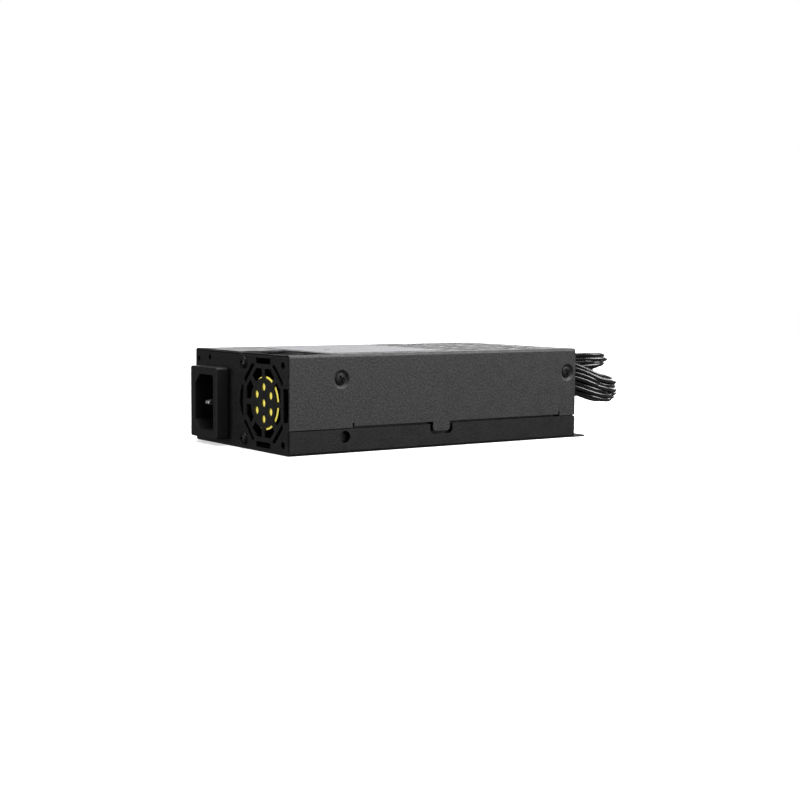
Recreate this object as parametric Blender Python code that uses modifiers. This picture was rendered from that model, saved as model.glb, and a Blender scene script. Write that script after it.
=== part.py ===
"""Flex ATX power supply unit as an assembly of separate solids.

Sizes are in millimetres and MM turns them into metres. Every place is given in the case frame: x runs from
the front panel (mains inlet, fan) to the rear panel (cables), y from the near long side to the far one and z
from the table up. The empty case_origin carries that frame, so that the part's own origin lies in the middle
of its base.
"""

import math

import bmesh
import bpy
from mathutils import Vector

MM = 0.001

# Case
LENGTH = 150.0
WIDTH = 81.5
HEIGHT = 40.5
SHEET = 0.8
BEND = 1.3
GAP = 0.3
STRIP_TOP = 9.9
COVER_BOTTOM = 10.3
COVER_MIDDLE_BOTTOM = 10.9
PANEL_TOP = 39.4
PANEL_STEP = 9.6
PANEL_PROUD = 0.1
PANEL_NOTCH = (5.0, 6.8)
INLET_STAND_OUT = 6.0
EAR_LENGTH = 7.2
EAR_WIDTH = 14.0
EAR_CORNER = 1.5
TONGUE_Y = SHEET + GAP
COVER_SCREWS = ((24.3, 30.3), (145.2, 29.8))
SCREW_HOLE = 1.75
STRIP_HOLE = (26.1, 6.7)
STRIP_HOLE_RADIUS = 2.5
NOTCH_X = (68.9, 80.6)
NOTCH_BOTTOM = 5.5
TAB_X = (70.4, 79.2)
TAB_BOTTOM = 6.9
RELIEF_X = (29.7, 140.2)
RELIEF = 0.8
FILM = 0.3
FILM_Y = (2.7, 78.8)
FILM_TOP = 22.0

# Fan
FAN_SIZE = 39.8
FAN_DEPTH = 20.0
FAN_X = 1.1
FAN_Y = 21.4
FAN_Z = 20.1
FAN_PITCH = 32.0
DUCT_RADIUS = 18.6
HUB_RADIUS = 11.1
HUB_FACE = 0.35
BLADES = 7
SHAFT_RADIUS = 1.5
BEARING_BORE = 1.6
FAN_WELL = (21.5, 1.3, 42.0)
FAN_FLANGE = 3.4
FAN_POCKET = 6.4
FAN_HOLE = 1.75
STRUT = (19.2, 1.1)
STRUT_DEPTH = 1.7
BLADE_THICKNESS = 0.9

# Grille around the fan centre
PLATE_RADIUS = 10.3
OCTAGON = 14.1
OUTER_OCTAGON = 16.0
SPOKE = 2.3
GRILLE_HOLE = 1.7
GRILLE_RING = 6.6

# Mains inlet
INLET_LOW = (50.5, 2.6)
INLET_HIGH = (75.0, 33.2)
INLET_BODY_INSET = 1.9
CAVITY_LOW = (54.0, 6.0)
CAVITY_HIGH = (70.6, 29.9)
CAVITY_DEPTH = 16.5
INLET_REAR = 14.0
PIN_Z = 17.65
PIN_PITCH = 7.0
PIN_SIZE = (4.0, 2.0)
EARTH_TIP = -3.6
LINE_TIP = -1.0
PIN_TAIL = 20.0
PIN_CHAMFER = (1.2, 0.9)

# Board
BOARD_X = (23.5, 147.0)
BOARD_Y = (3.3, 78.2)
BOARD_Z = 4.5
BOARD_THICK = 1.6
PART_Z = BOARD_Z + BOARD_THICK + GAP
BOARD_SCREWS = ((28.0, 8.0), (28.0, 73.5), (142.5, 8.0), (142.5, 73.5))

# Cable outlet in the rear panel
OUTLET_LOW = (18.8, 16.7)
OUTLET_HIGH = (38.2, 37.3)
OUTLET_RADIUS = 3.6
BUSHING_WALL = 1.2
BUSHING_FLANGE = 2.0
BUSHING_REAR = 151.4
CABLE_START = BUSHING_REAR + GAP

# Plugs
CELL_PITCH = 4.2
CELL_HALF = 1.6
CELL_DEPTH = 9.0
PLUG_WALL = 0.6
PLUG_LENGTH = 19.5

# Cables: diameter and route points in the case frame
ATX_DIAMETER = 11.6
EIGHT_WIRE_DIAMETER = 6.8
DRIVE_DIAMETER = 5.6

ATX_ROUTE = (
    (CABLE_START, 25.0, 26.2), (161.0, 24.7, 25.6), (173.0, 24.7, 22.8), (187.0, 27.5, 19.4),
    (202.0, 35.5, 17.8), (214.5, 48.5, 17.8), (220.3, 65.0, 18.4), (219.8, 80.0, 16.8), (213.5, 94.0, 12.0),
    (203.0, 107.0, 8.0), (188.0, 119.0, 6.2), (171.0, 131.0, 6.1), (154.0, 145.0, 6.1),
    (134.0, 155.5, 6.1), (114.0, 155.0, 6.1), (97.0, 149.5, 6.1), (84.0, 148.5, 6.1),
    (70.0, 148.5, 6.1),
)
CPU_ROUTE = (
    (CABLE_START, 34.5, 33.6), (168.0, 34.5, 33.7), (188.0, 35.5, 33.6), (203.0, 41.5, 33.2),
    (212.5, 53.5, 31.6), (214.0, 69.0, 27.0), (208.0, 84.0, 19.0), (197.5, 95.5, 10.5),
    (184.0, 103.0, 4.8), (168.0, 106.0, 3.7), (148.0, 107.0, 3.7), (125.0, 109.5, 3.7),
    (103.0, 114.0, 3.7), (80.0, 116.5, 3.7), (45.0, 116.5, 3.7),
)
PCIE_ROUTE = (
    (CABLE_START, 34.5, 26.4), (168.0, 34.5, 26.4), (185.0, 37.6, 26.5), (198.0, 43.8, 25.4),
    (206.0, 54.0, 22.8), (206.5, 67.5, 18.0), (201.0, 80.0, 12.0), (191.0, 89.5, 6.4),
    (178.0, 94.5, 3.9), (162.0, 95.5, 3.7), (140.0, 95.5, 3.7), (110.0, 96.0, 3.7),
    (80.0, 98.0, 3.7), (35.0, 98.0, 3.7),
)
SATA_ROUTE = (
    (CABLE_START, 34.5, 19.8), (165.0, 34.6, 19.8), (178.0, 36.0, 19.4), (190.0, 42.0, 18.8),
    (198.0, 52.0, 17.4), (199.8, 63.5, 13.6), (195.0, 74.5, 7.6), (186.0, 82.0, 4.2),
    (174.0, 85.4, 3.1), (155.0, 86.0, 3.1), (120.0, 85.3, 3.1), (90.0, 85.3, 4.4),
    (65.0, 85.3, 9.0), (46.0, 85.3, 11.6), (29.0, 85.3, 11.8),
)


# ---------------------------------------------------------------- collections and materials

def collection(name):
    found = bpy.data.collections.new(name)
    bpy.context.scene.collection.children.link(found)
    return found


def empty(name, place, parent=None):
    guide = bpy.data.objects.new(name, None)
    guide.location = Vector(place) * MM
    guide.parent = parent
    PARTS.objects.link(guide)
    return guide


def material(name, color, roughness, metallic=0.0):
    made = bpy.data.materials.new(name)
    made.use_nodes = True
    shader = made.node_tree.nodes["Principled BSDF"]
    shader.inputs["Base Color"].default_value = (*color, 1.0)
    shader.inputs["Roughness"].default_value = roughness
    shader.inputs["Metallic"].default_value = metallic
    made.diffuse_color = (*color, 1.0)
    return made


# ---------------------------------------------------------------- shape helpers

def finish(name, mesh, place, paint, turn=(0.0, 0.0, 0.0), parent=None):
    """Put a mesh into the assembly under its node name."""
    mesh.name = name
    mesh.materials.clear()
    mesh.materials.append(paint)
    thing = bpy.data.objects.new(name, mesh)
    thing.location = Vector(place) * MM
    thing.rotation_euler = [math.radians(angle) for angle in turn]
    thing.parent = parent or CASE
    PARTS.objects.link(thing)
    bpy.context.view_layer.update()
    return thing


def mesh_from(work):
    mesh = bpy.data.meshes.new("shape")
    bmesh.ops.recalc_face_normals(work, faces=work.faces)
    work.to_mesh(mesh)
    work.free()
    return mesh


def box_mesh(size):
    work = bmesh.new()
    bmesh.ops.create_cube(work, size=1.0)
    bmesh.ops.scale(work, vec=Vector(size) * MM, verts=work.verts)
    return mesh_from(work)


def box(name, low, high, paint):
    low = Vector(low)
    high = Vector(high)
    return finish(name, box_mesh(high - low), (low + high) / 2, paint)


def cone_mesh(bottom_radius, top_radius, height, sides=24):
    work = bmesh.new()
    radii = {"radius1": bottom_radius * MM, "radius2": top_radius * MM}
    bmesh.ops.create_cone(work, cap_ends=True, segments=sides, depth=height * MM, **radii)
    return mesh_from(work)


def cylinder(name, radius, height, centre, paint, turn=(0.0, 0.0, 0.0), sides=24):
    made = finish(name, cone_mesh(radius, radius, height, sides), centre, paint, turn)
    smooth(made)
    return made


def smooth(thing, angle=35.0):
    thing.data.shade_smooth()
    thing.data.set_sharp_from_angle(angle=math.radians(angle))


def bake(thing):
    """Replace an object's modifiers with the mesh that they make."""
    bpy.context.view_layer.update()
    seen = thing.evaluated_get(bpy.context.evaluated_depsgraph_get())
    mesh = bpy.data.meshes.new_from_object(seen)
    thing.modifiers.clear()
    thing.data = mesh
    return thing


def boolean(thing, tool, operation):
    """Unite a tool with a thing or cut it out, and use the tool up."""
    step = thing.modifiers.new(operation.lower(), "BOOLEAN")
    step.operation = operation
    step.solver = "EXACT"
    step.object = tool
    bake(thing)
    bpy.data.objects.remove(tool)
    return thing


def unite(thing, *tools):
    for tool in tools:
        boolean(thing, tool, "UNION")
    return thing


def cut(thing, *tools):
    for tool in tools:
        boolean(thing, tool, "DIFFERENCE")
    return thing


def cutter(mesh, place, turn=(0.0, 0.0, 0.0), parent=None):
    """A guide shape that is cut out of a part or joined to one."""
    thing = bpy.data.objects.new("cutter", mesh)
    thing.location = Vector(place) * MM
    thing.rotation_euler = [math.radians(angle) for angle in turn]
    thing.parent = parent or CASE
    thing.hide_render = True
    thing.display_type = "WIRE"
    CUTTERS.objects.link(thing)
    bpy.context.view_layer.update()
    return thing


def box_cutter(low, high):
    low = Vector(low)
    high = Vector(high)
    return cutter(box_mesh(high - low), (low + high) / 2)


def many_boxes(boxes):
    """One cutter made of several separate boxes."""
    work = bmesh.new()
    for low, high in boxes:
        low = Vector(low) * MM
        high = Vector(high) * MM
        corners = bmesh.ops.create_cube(work, size=1.0)["verts"]
        bmesh.ops.scale(work, vec=high - low, verts=corners)
        bmesh.ops.translate(work, vec=(low + high) / 2, verts=corners)
    return cutter(mesh_from(work), (0.0, 0.0, 0.0))


# Turns that lay a flat outline (u, v) on a plane of the case
LEVEL = (0.0, 0.0, 0.0)  # u is x, v is y
ACROSS = (90.0, 0.0, 90.0)  # u is y, v is z
ALONG = (90.0, 0.0, 0.0)  # u is x, v is z
# Turns that aim a part's own +Z
TO_FRONT = (0.0, -90.0, 0.0)
TO_REAR = (0.0, 90.0, 0.0)
TO_NEAR = (90.0, 0.0, 0.0)
TO_FAR = (-90.0, 0.0, 0.0)


def plate_mesh(loops, thickness):
    """A flat outline with holes, given as loops of (u, v), as a plate of some thickness."""
    curve = bpy.data.curves.new("outline", "CURVE")
    curve.dimensions = "2D"
    curve.fill_mode = "BOTH"
    curve.extrude = thickness * MM / 2
    for loop in loops:
        spline = curve.splines.new("POLY")
        spline.points.add(len(loop) - 1)
        for point, (u, v) in zip(spline.points, loop):
            point.co = (u * MM, v * MM, 0.0, 1.0)
        spline.use_cyclic_u = True
    return welded(curve)


def welded(curve):
    """The closed mesh of a curve object, its caps joined to its walls."""
    guide = bpy.data.objects.new("curve", curve)
    CUTTERS.objects.link(guide)
    bpy.context.view_layer.update()
    mesh = bpy.data.meshes.new_from_object(guide.evaluated_get(bpy.context.evaluated_depsgraph_get()))
    bpy.data.objects.remove(guide)
    work = bmesh.new()
    work.from_mesh(mesh)
    bmesh.ops.remove_doubles(work, verts=work.verts, dist=0.000001)
    bmesh.ops.recalc_face_normals(work, faces=work.faces)
    work.to_mesh(mesh)
    work.free()
    return mesh


def plate(name, loops, thickness, place, turn, paint):
    return finish(name, plate_mesh(loops, thickness), place, paint, turn)


def punched(name, outline, holes, thickness, place, turn, paint):
    """A plate whose many holes are punched one by one out of the whole sheet."""
    sheet = plate(name, [outline], thickness, place, turn, paint)
    work = bmesh.new()
    for loop in holes:
        work.from_mesh(plate_mesh([loop], 4 * thickness))
    return cut(sheet, cutter(mesh_from(work), place, turn))


def turned_mesh(profile, steps=24):
    """A closed solid from a profile of (radius, height), listed from the top down."""
    work = bmesh.new()
    points = [work.verts.new((radius * MM, 0.0, height * MM)) for radius, height in profile]
    for first, second in zip(points, points[1:]):
        work.edges.new((first, second))
    if profile[0][0] > 0.0:
        work.edges.new((points[-1], points[0]))
    mesh = bpy.data.meshes.new("profile")
    work.to_mesh(mesh)
    work.free()
    guide = bpy.data.objects.new("turned", mesh)
    CUTTERS.objects.link(guide)
    screw = guide.modifiers.new("turn", "SCREW")
    screw.steps = steps
    screw.render_steps = steps
    screw.use_merge_vertices = True
    screw.merge_threshold = 0.00001
    bake(guide)
    made = guide.data
    bpy.data.objects.remove(guide)
    work = bmesh.new()
    work.from_mesh(made)
    bmesh.ops.remove_doubles(work, verts=work.verts, dist=0.000001)
    bmesh.ops.recalc_face_normals(work, faces=work.faces)
    work.to_mesh(made)
    work.free()
    return made


def turned(name, profile, place, paint, turn=(0.0, 0.0, 0.0), steps=24, parent=None):
    made = finish(name, turned_mesh(profile, steps), place, paint, turn, parent)
    smooth(made)
    return made


# ---------------------------------------------------------------- outlines

def rectangle(low, high):
    return [(low[0], low[1]), (high[0], low[1]), (high[0], high[1]), (low[0], high[1])]


def arc(centre, radius, start, stop, steps):
    """Points on an arc from one angle to another, in degrees, both ends included."""
    points = []
    for step in range(steps + 1):
        angle = math.radians(start + (stop - start) * step / steps)
        points.append((centre[0] + radius * math.cos(angle), centre[1] + radius * math.sin(angle)))
    return points


def circle(centre, radius, sides=24):
    return arc(centre, radius, 0.0, 360.0, sides)[:-1]


def rounded(low, high, radius, steps=3):
    """A rectangle with round corners."""
    left, bottom = low[0] + radius, low[1] + radius
    right, top = high[0] - radius, high[1] - radius
    outline = arc((left, bottom), radius, 180.0, 270.0, steps)
    outline += arc((right, bottom), radius, 270.0, 360.0, steps)
    outline += arc((right, top), radius, 0.0, 90.0, steps)
    outline += arc((left, top), radius, 90.0, 180.0, steps)
    return outline


def polar(centre, angle, along, aside):
    """A point a distance along a direction and aside from it."""
    turn = math.radians(angle)
    return (
        centre[0] + along * math.cos(turn) - aside * math.sin(turn),
        centre[1] + along * math.sin(turn) + aside * math.cos(turn),
    )


# ---------------------------------------------------------------- folded sheet casing

def channel(top, low_y, high_y, bottom):
    """Section (y, z) of a sheet folded up along both long sides, with its round outer bends."""
    inner = BEND - SHEET
    section = [(low_y, top)]
    section += arc((low_y + BEND, bottom + BEND), BEND, 180.0, 270.0, 3)
    section += arc((high_y - BEND, bottom + BEND), BEND, 270.0, 360.0, 3)
    section += [(high_y, top), (high_y - SHEET, top)]
    section += arc((high_y - BEND, bottom + BEND), inner, 360.0, 270.0, 3)
    section += arc((low_y + BEND, bottom + BEND), inner, 270.0, 180.0, 3)
    section += [(low_y + SHEET, top)]
    return section


def fan_grille():
    """Openings of the fan grille in the front panel, as loops around the fan centre."""
    centre = (FAN_Y, FAN_Z)
    half = SPOKE / 2
    loops = [circle(centre, GRILLE_HOLE, 12)]
    for step in range(6):
        loops.append(circle(polar(centre, 30.0 + 60.0 * step, GRILLE_RING, 0.0), GRILLE_HOLE, 12))
    corner = OCTAGON / math.cos(math.radians(22.5))
    edge_angle = math.degrees(math.asin(half / PLATE_RADIUS))
    for step in range(8):
        angle = 45.0 * step
        wedge = [polar(centre, angle, OCTAGON, half), polar(centre, angle + 22.5, corner, 0.0)]
        wedge.append(polar(centre, angle + 45.0, OCTAGON, -half))
        wedge += arc(centre, PLATE_RADIUS, angle + 45.0 - edge_angle, angle + edge_angle, 4)
        loops.append(wedge)
    for angle in (45.0, 135.0, 225.0, 315.0):
        slot = [(OUTER_OCTAGON, -5.7), (18.0, -4.9), (18.0, 4.9), (OUTER_OCTAGON, 5.7)]
        loops.append([polar(centre, angle, along, aside) for along, aside in slot])
    for angle in (90.0, 270.0):
        slot = [(OUTER_OCTAGON, -5.9), (18.4, -5.9), (18.4, 5.9), (OUTER_OCTAGON, 5.9)]
        loops.append([polar(centre, angle, along, aside) for along, aside in slot])
    side = [(16.8, -6.5), (17.9, -6.5), (19.4, -3.6), (20.0, 0.0), (19.4, 3.6), (17.9, 6.5), (16.8, 6.5)]
    loops.append([polar(centre, 0.0, along, aside) for along, aside in side])
    return loops


def panel_outline():
    """End panel, from its lower corners up: it reaches half way into the folded sheet round it."""
    inset = TONGUE_Y
    skin = SHEET / 2
    right = WIDTH - skin
    corner = BEND - skin
    outline = arc((BEND, BEND), corner, 180.0, 270.0, 2) + arc((WIDTH - BEND, BEND), corner, 270.0, 360.0, 2)
    outline += [(right, PANEL_STEP), (WIDTH - inset, PANEL_STEP)]
    return outline + [(WIDTH - inset, PANEL_TOP), (inset, PANEL_TOP)]


def front_panel():
    outline = panel_outline()
    low_y, low_z = PANEL_NOTCH
    outline += [(TONGUE_Y, FAN_Z + low_z), (low_y, FAN_Z + low_z), (low_y, FAN_Z - low_z)]
    outline += [(TONGUE_Y, FAN_Z - low_z), (TONGUE_Y, PANEL_STEP), (SHEET / 2, PANEL_STEP)]
    holes = fan_grille()
    half = FAN_PITCH / 2
    for side in (-half, half):
        holes.append(circle((FAN_Y - half, FAN_Z + side), 1.5, 12))
        holes.append(circle((FAN_Y + half, FAN_Z + side), 1.8, 16))
    holes.append(circle((78.6, 36.0), 1.2, 12))
    holes.append(circle((68.3, 36.9), 1.2, 12))
    inset = INLET_BODY_INSET - GAP
    low = (INLET_LOW[0] + inset, 3.6)
    high = (INLET_HIGH[0] - inset, 31.7)
    holes.append(rectangle(low, high))
    return punched("front_panel", outline, holes, SHEET, (SHEET / 2, 0.0, 0.0), ACROSS, BLACK_PAINT)


def rear_panel():
    outline = panel_outline() + [(TONGUE_Y, PANEL_STEP), (SHEET / 2, PANEL_STEP)]
    wall = BUSHING_WALL + GAP
    low = (OUTLET_LOW[0] - wall, OUTLET_LOW[1] - wall)
    high = (OUTLET_HIGH[0] + wall, OUTLET_HIGH[1] + wall)
    holes = [rounded(low, high, OUTLET_RADIUS + wall)]
    for step in range(8):
        middle = 46.5 + 4.0 * step
        holes.append(arc((middle, 31.9), 1.1, 0.0, 180.0, 4) + arc((middle, 10.1), 1.1, 180.0, 360.0, 4))
    place = (LENGTH - SHEET / 2, 0.0, 0.0)
    return punched("rear_panel", outline, holes, SHEET, place, ACROSS, BLACK_PAINT)


def tongue(low_x, high_x, far):
    """A flap that rises behind the cover's side and takes a cover screw, with the fold that joins it."""
    y = WIDTH - TONGUE_Y - SHEET if far else TONGUE_Y
    fold = WIDTH - SHEET + 0.2 if far else SHEET - 0.2
    flap = box("tongue", (low_x, y, 5.0), (high_x, y + SHEET, 35.0), BLACK_PAINT)
    low_y, high_y = sorted((y + SHEET / 2, fold))
    return unite(flap, box_cutter((low_x, low_y, 6.0), (high_x, high_y, 8.6)))


def fixing_ear():
    """The ear that stands out of the bottom at the rear, with its screw hole."""
    tip = LENGTH + EAR_LENGTH
    corner = EAR_CORNER
    outline = [(LENGTH - 4.0, 1.6), (LENGTH, 0.2)]
    outline += arc((tip - corner, 0.2 + corner), corner, 270.0, 360.0, 3)
    outline += arc((tip - 2.5, EAR_WIDTH - 5.0), 2.5, 0.0, 60.0, 2) + [(LENGTH - 4.0, EAR_WIDTH)]
    hole = circle((LENGTH + 2.7, 6.2), 1.7, 12)
    return plate("ear", [outline, hole], SHEET, (0.0, 0.0, SHEET / 2), LEVEL, BLACK_PAINT)


def base_tray():
    section = channel(STRIP_TOP, 0.0, WIDTH, 0.0)
    place = (LENGTH / 2, 0.0, 0.0)
    tray = plate("base_tray", [section], LENGTH - 2 * PANEL_PROUD, place, ACROSS, BLACK_PAINT)
    cut(tray, box_cutter((SHEET + 0.3, TONGUE_Y, -1.0), (FAN_WELL[0], FAN_WELL[2] - 0.2, 2.0)))
    left, right = NOTCH_X
    corner = 1.5
    level = NOTCH_BOTTOM + corner
    notch = [(left, STRIP_TOP + 1.0)] + arc((left + corner, level), corner, 180.0, 270.0, 3)
    notch += arc((right - corner, level), corner, 270.0, 360.0, 3) + [(right, STRIP_TOP + 1.0)]
    for y in (0.0, WIDTH):
        cut(tray, cutter(plate_mesh([notch], 6.0), (0.0, y, 0.0), ALONG))
        hole = plate_mesh([circle(STRIP_HOLE, STRIP_HOLE_RADIUS, 16)], 1.9)
        cut(tray, cutter(hole, (0.0, y, 0.0), ALONG))
    unite(tray, front_panel(), rear_panel(), fixing_ear())
    for far in (False, True):
        unite(tray, tongue(FAN_WELL[0] + 0.3, 29.6, far), tongue(141.0, LENGTH - 0.4, far))
    for x, z in COVER_SCREWS:
        for y in (0.0, WIDTH):
            cut(tray, cutter(cone_mesh(SCREW_HOLE, SCREW_HOLE, 6.0, 16), (x, y, z), TO_NEAR))
    return tray


def vent_slots():
    """Rows of slots over the rear half of the case, which let air in above the board."""
    boxes = []
    for row in range(7):
        for column in range(3):
            x = 88.5 + 18.0 * column
            y = 10.0 + 10.0 * row
            boxes.append(((x, y, 38.0), (x + 15.0, y + 3.0, 42.0)))
    return many_boxes(boxes)


def top_cover():
    section = [(y, HEIGHT - z) for y, z in channel(HEIGHT - 5.0, 0.0, WIDTH, 0.0)]
    place = (LENGTH / 2, 0.0, 0.0)
    cover = plate("top_cover", [section], LENGTH, place, ACROSS, BLACK_PAINT)
    lower = COVER_BOTTOM
    middle = COVER_MIDDLE_BOTTOM
    slit = middle + 1.4
    front, rear = RELIEF_X
    left, right = TAB_X
    below = [(-1.0, 0.0), (LENGTH + 1.0, 0.0), (LENGTH + 1.0, lower), (rear + RELIEF, lower)]
    below += [(rear + RELIEF, slit), (rear, slit), (rear, middle), (right, middle), (right, TAB_BOTTOM)]
    below += [(left, TAB_BOTTOM), (left, middle), (front + RELIEF, middle), (front + RELIEF, slit)]
    below += [(front, slit), (front, lower), (-1.0, lower)]
    cut(cover, cutter(plate_mesh([below], WIDTH + 10.0), (0.0, WIDTH / 2, 0.0), ALONG))
    cut(cover, box_cutter((-1.0, FAN_WELL[1], 36.0), (FAN_WELL[0], FAN_WELL[2], 45.0)), vent_slots())
    cut(cover, cutter(cone_mesh(0.8, 0.8, 6.0, 8), (38.1, 33.7, HEIGHT)))
    for x, z in COVER_SCREWS:
        cut(cover, cutter(cone_mesh(1.8, 3.8, 1.2, 24), (x, 0.4, z), TO_NEAR))
        cut(cover, cutter(cone_mesh(1.8, 3.8, 1.2, 24), (x, WIDTH - 0.4, z), TO_FAR))
    return cover


def insulation_sheet():
    """Film under the board, folded up along both long sides."""
    low_y, high_y = FILM_Y
    bottom = SHEET + 0.4
    section = [(low_y, FILM_TOP), (low_y, bottom), (high_y, bottom), (high_y, FILM_TOP)]
    section += [(high_y - FILM, FILM_TOP), (high_y - FILM, bottom + FILM)]
    section += [(low_y + FILM, bottom + FILM), (low_y + FILM, FILM_TOP)]
    sheet = plate("insulation_sheet", [section], 124.0, (86.0, 0.0, 0.0), ACROSS, BLACK_FILM)
    for x, y in BOARD_SCREWS:
        cut(sheet, cutter(cone_mesh(3.2, 3.2, 2.0, 12), (x, y, bottom)))
    return sheet


def rating_label():
    outline = rounded((24.5, 7.0), (83.0, 74.5), 1.5, 2)
    hole = circle((38.1, 33.7), 1.6, 12)
    return plate("rating_label", [outline, hole], 0.1, (0.0, 0.0, HEIGHT + 0.1), LEVEL, LABEL_GREY)


# ---------------------------------------------------------------- screws

def cross_outline(arm, blade):
    """A cross slot with four tapered arms of the given reach and half width."""
    outline = []
    tip = blade * 0.8
    for angle in (0.0, 90.0, 180.0, 270.0):
        outline += [polar((0.0, 0.0), angle, arm, -tip), polar((0.0, 0.0), angle, arm, tip)]
        outline.append(polar((0.0, 0.0), angle, blade, blade))
    return outline


def screw(name, head_radius, depth, place, turn, length=5.0, shank=1.2):
    """A countersunk cross-slot screw. Its own +Z points out of the head, which lies at z = 0."""
    profile = [(0.0, 0.0), (head_radius, 0.0), (head_radius, -0.15)]
    profile += [(shank, -depth), (shank, -length), (0.0, -length)]
    made = turned(name, profile, place, SCREW_BLACK, turn, 16)
    arm = head_radius * 0.62
    blade = head_radius * 0.15
    tool = cutter(plate_mesh([cross_outline(arm, blade)], 1.0), (0.0, 0.0, 0.0), parent=made)
    return cut(made, tool)


def cover_screws():
    for number, (x, z) in enumerate(COVER_SCREWS):
        screw(f"cover_screw_near_{number + 1}", 2.6, 0.95, (x, 0.2, z), TO_NEAR)
        screw(f"cover_screw_far_{number + 1}", 2.6, 0.95, (x, WIDTH - 0.2, z), TO_FAR)


def fan_screws():
    """Pan-head screws through the front panel into the fan's corners away from the near side."""
    half = FAN_PITCH / 2
    for name, side in (("fan_screw_lower", -half), ("fan_screw_upper", half)):
        place = (-GAP, FAN_Y + half, FAN_Z + side)
        profile = [(0.0, 1.2), (1.5, 1.15), (2.3, 0.75), (2.6, 0.0), (1.4, 0.0), (1.4, -8.0), (0.0, -8.0)]
        made = turned(name, profile, place, SCREW_BLACK, TO_FRONT, 16)
        cut(made, cutter(plate_mesh([cross_outline(1.7, 0.4)], 1.2), (0.0, 0.0, 1.3), parent=made))


def board_hardware():
    for number, (x, y) in enumerate(BOARD_SCREWS):
        hexagon = circle((0.0, 0.0), 2.9, 6)
        bore = circle((0.0, 0.0), 1.7, 12)
        low = SHEET + 0.2
        high = BOARD_Z - GAP
        place = (x, y, (low + high) / 2)
        plate(f"board_standoff_{number + 1}", [hexagon, bore], high - low, place, LEVEL, BRASS)
        top = BOARD_Z + BOARD_THICK + GAP
        profile = [(0.0, 1.7), (1.8, 1.6), (2.7, 0.8), (2.8, 0.0), (1.3, 0.0), (1.3, -4.6), (0.0, -4.6)]
        turned(f"board_screw_{number + 1}", profile, (x, y, top), STEEL, steps=10)


# ---------------------------------------------------------------- mains inlet

def cavity_outline(grow=0.0):
    """Mouth of the inlet: two small corners and, beside the earth blade, two long bevels."""
    y0, z0 = CAVITY_LOW[0] - grow, CAVITY_LOW[1] - grow
    y1, z1 = CAVITY_HIGH[0] + grow, CAVITY_HIGH[1] + grow
    near = 1.5
    far = 4.2
    outline = arc((y0 + near, z0 + near), near, 180.0, 270.0, 2)
    outline += [(y1 - far, z0), (y1, z0 + far), (y1, z1 - far), (y1 - far, z1)]
    outline += arc((y0 + near, z1 - near), near, 90.0, 180.0, 2)
    return outline


def inlet_housing():
    depth = INLET_STAND_OUT - GAP
    flange = rounded(INLET_LOW, INLET_HIGH, 1.2, 2)
    place = (-GAP - depth / 2, 0.0, 0.0)
    housing = plate("inlet_housing", [flange], depth, place, ACROSS, INLET_BLACK)
    inset = INLET_BODY_INSET
    low = (-1.0, INLET_LOW[0] + inset, 3.9)
    high = (INLET_REAR, INLET_HIGH[0] - inset, 31.4)
    unite(housing, box_cutter(low, high))
    middle = -INLET_STAND_OUT + CAVITY_DEPTH / 2 - 0.5
    cut(housing, cutter(plate_mesh([cavity_outline()], CAVITY_DEPTH + 1.0), (middle, 0.0, 0.0), ACROSS))
    slots = []
    for y, z in pin_places():
        half = (PIN_SIZE[0] / 2 + GAP, PIN_SIZE[1] / 2 + GAP)
        slots.append(((5.0, y - half[0], z - half[1]), (INLET_REAR + 1.0, y + half[0], z + half[1])))
    return cut(housing, many_boxes(slots))


def pin_places():
    """Line, neutral and earth blades; the earth stands nearer the bevelled side."""
    return ((60.3, PIN_Z + PIN_PITCH), (60.3, PIN_Z - PIN_PITCH), (64.3, PIN_Z))


def inlet_pins():
    """Three flat blades with chamfered tips; the earth blade is the longest, so it connects first."""
    width, height = PIN_SIZE
    half = width / 2
    slope, side = PIN_CHAMFER
    for name, (y, z) in zip(("line", "neutral", "earth"), pin_places()):
        tip = EARTH_TIP if name == "earth" else LINE_TIP
        outline = [(tip, side - half), (tip + slope, -half), (PIN_TAIL, -half)]
        outline += [(PIN_TAIL, half), (tip + slope, half), (tip, half - side)]
        plate(f"inlet_pin_{name}", [outline], height, (0.0, y, z), LEVEL, BRIGHT_METAL)


# ---------------------------------------------------------------- fan

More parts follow.
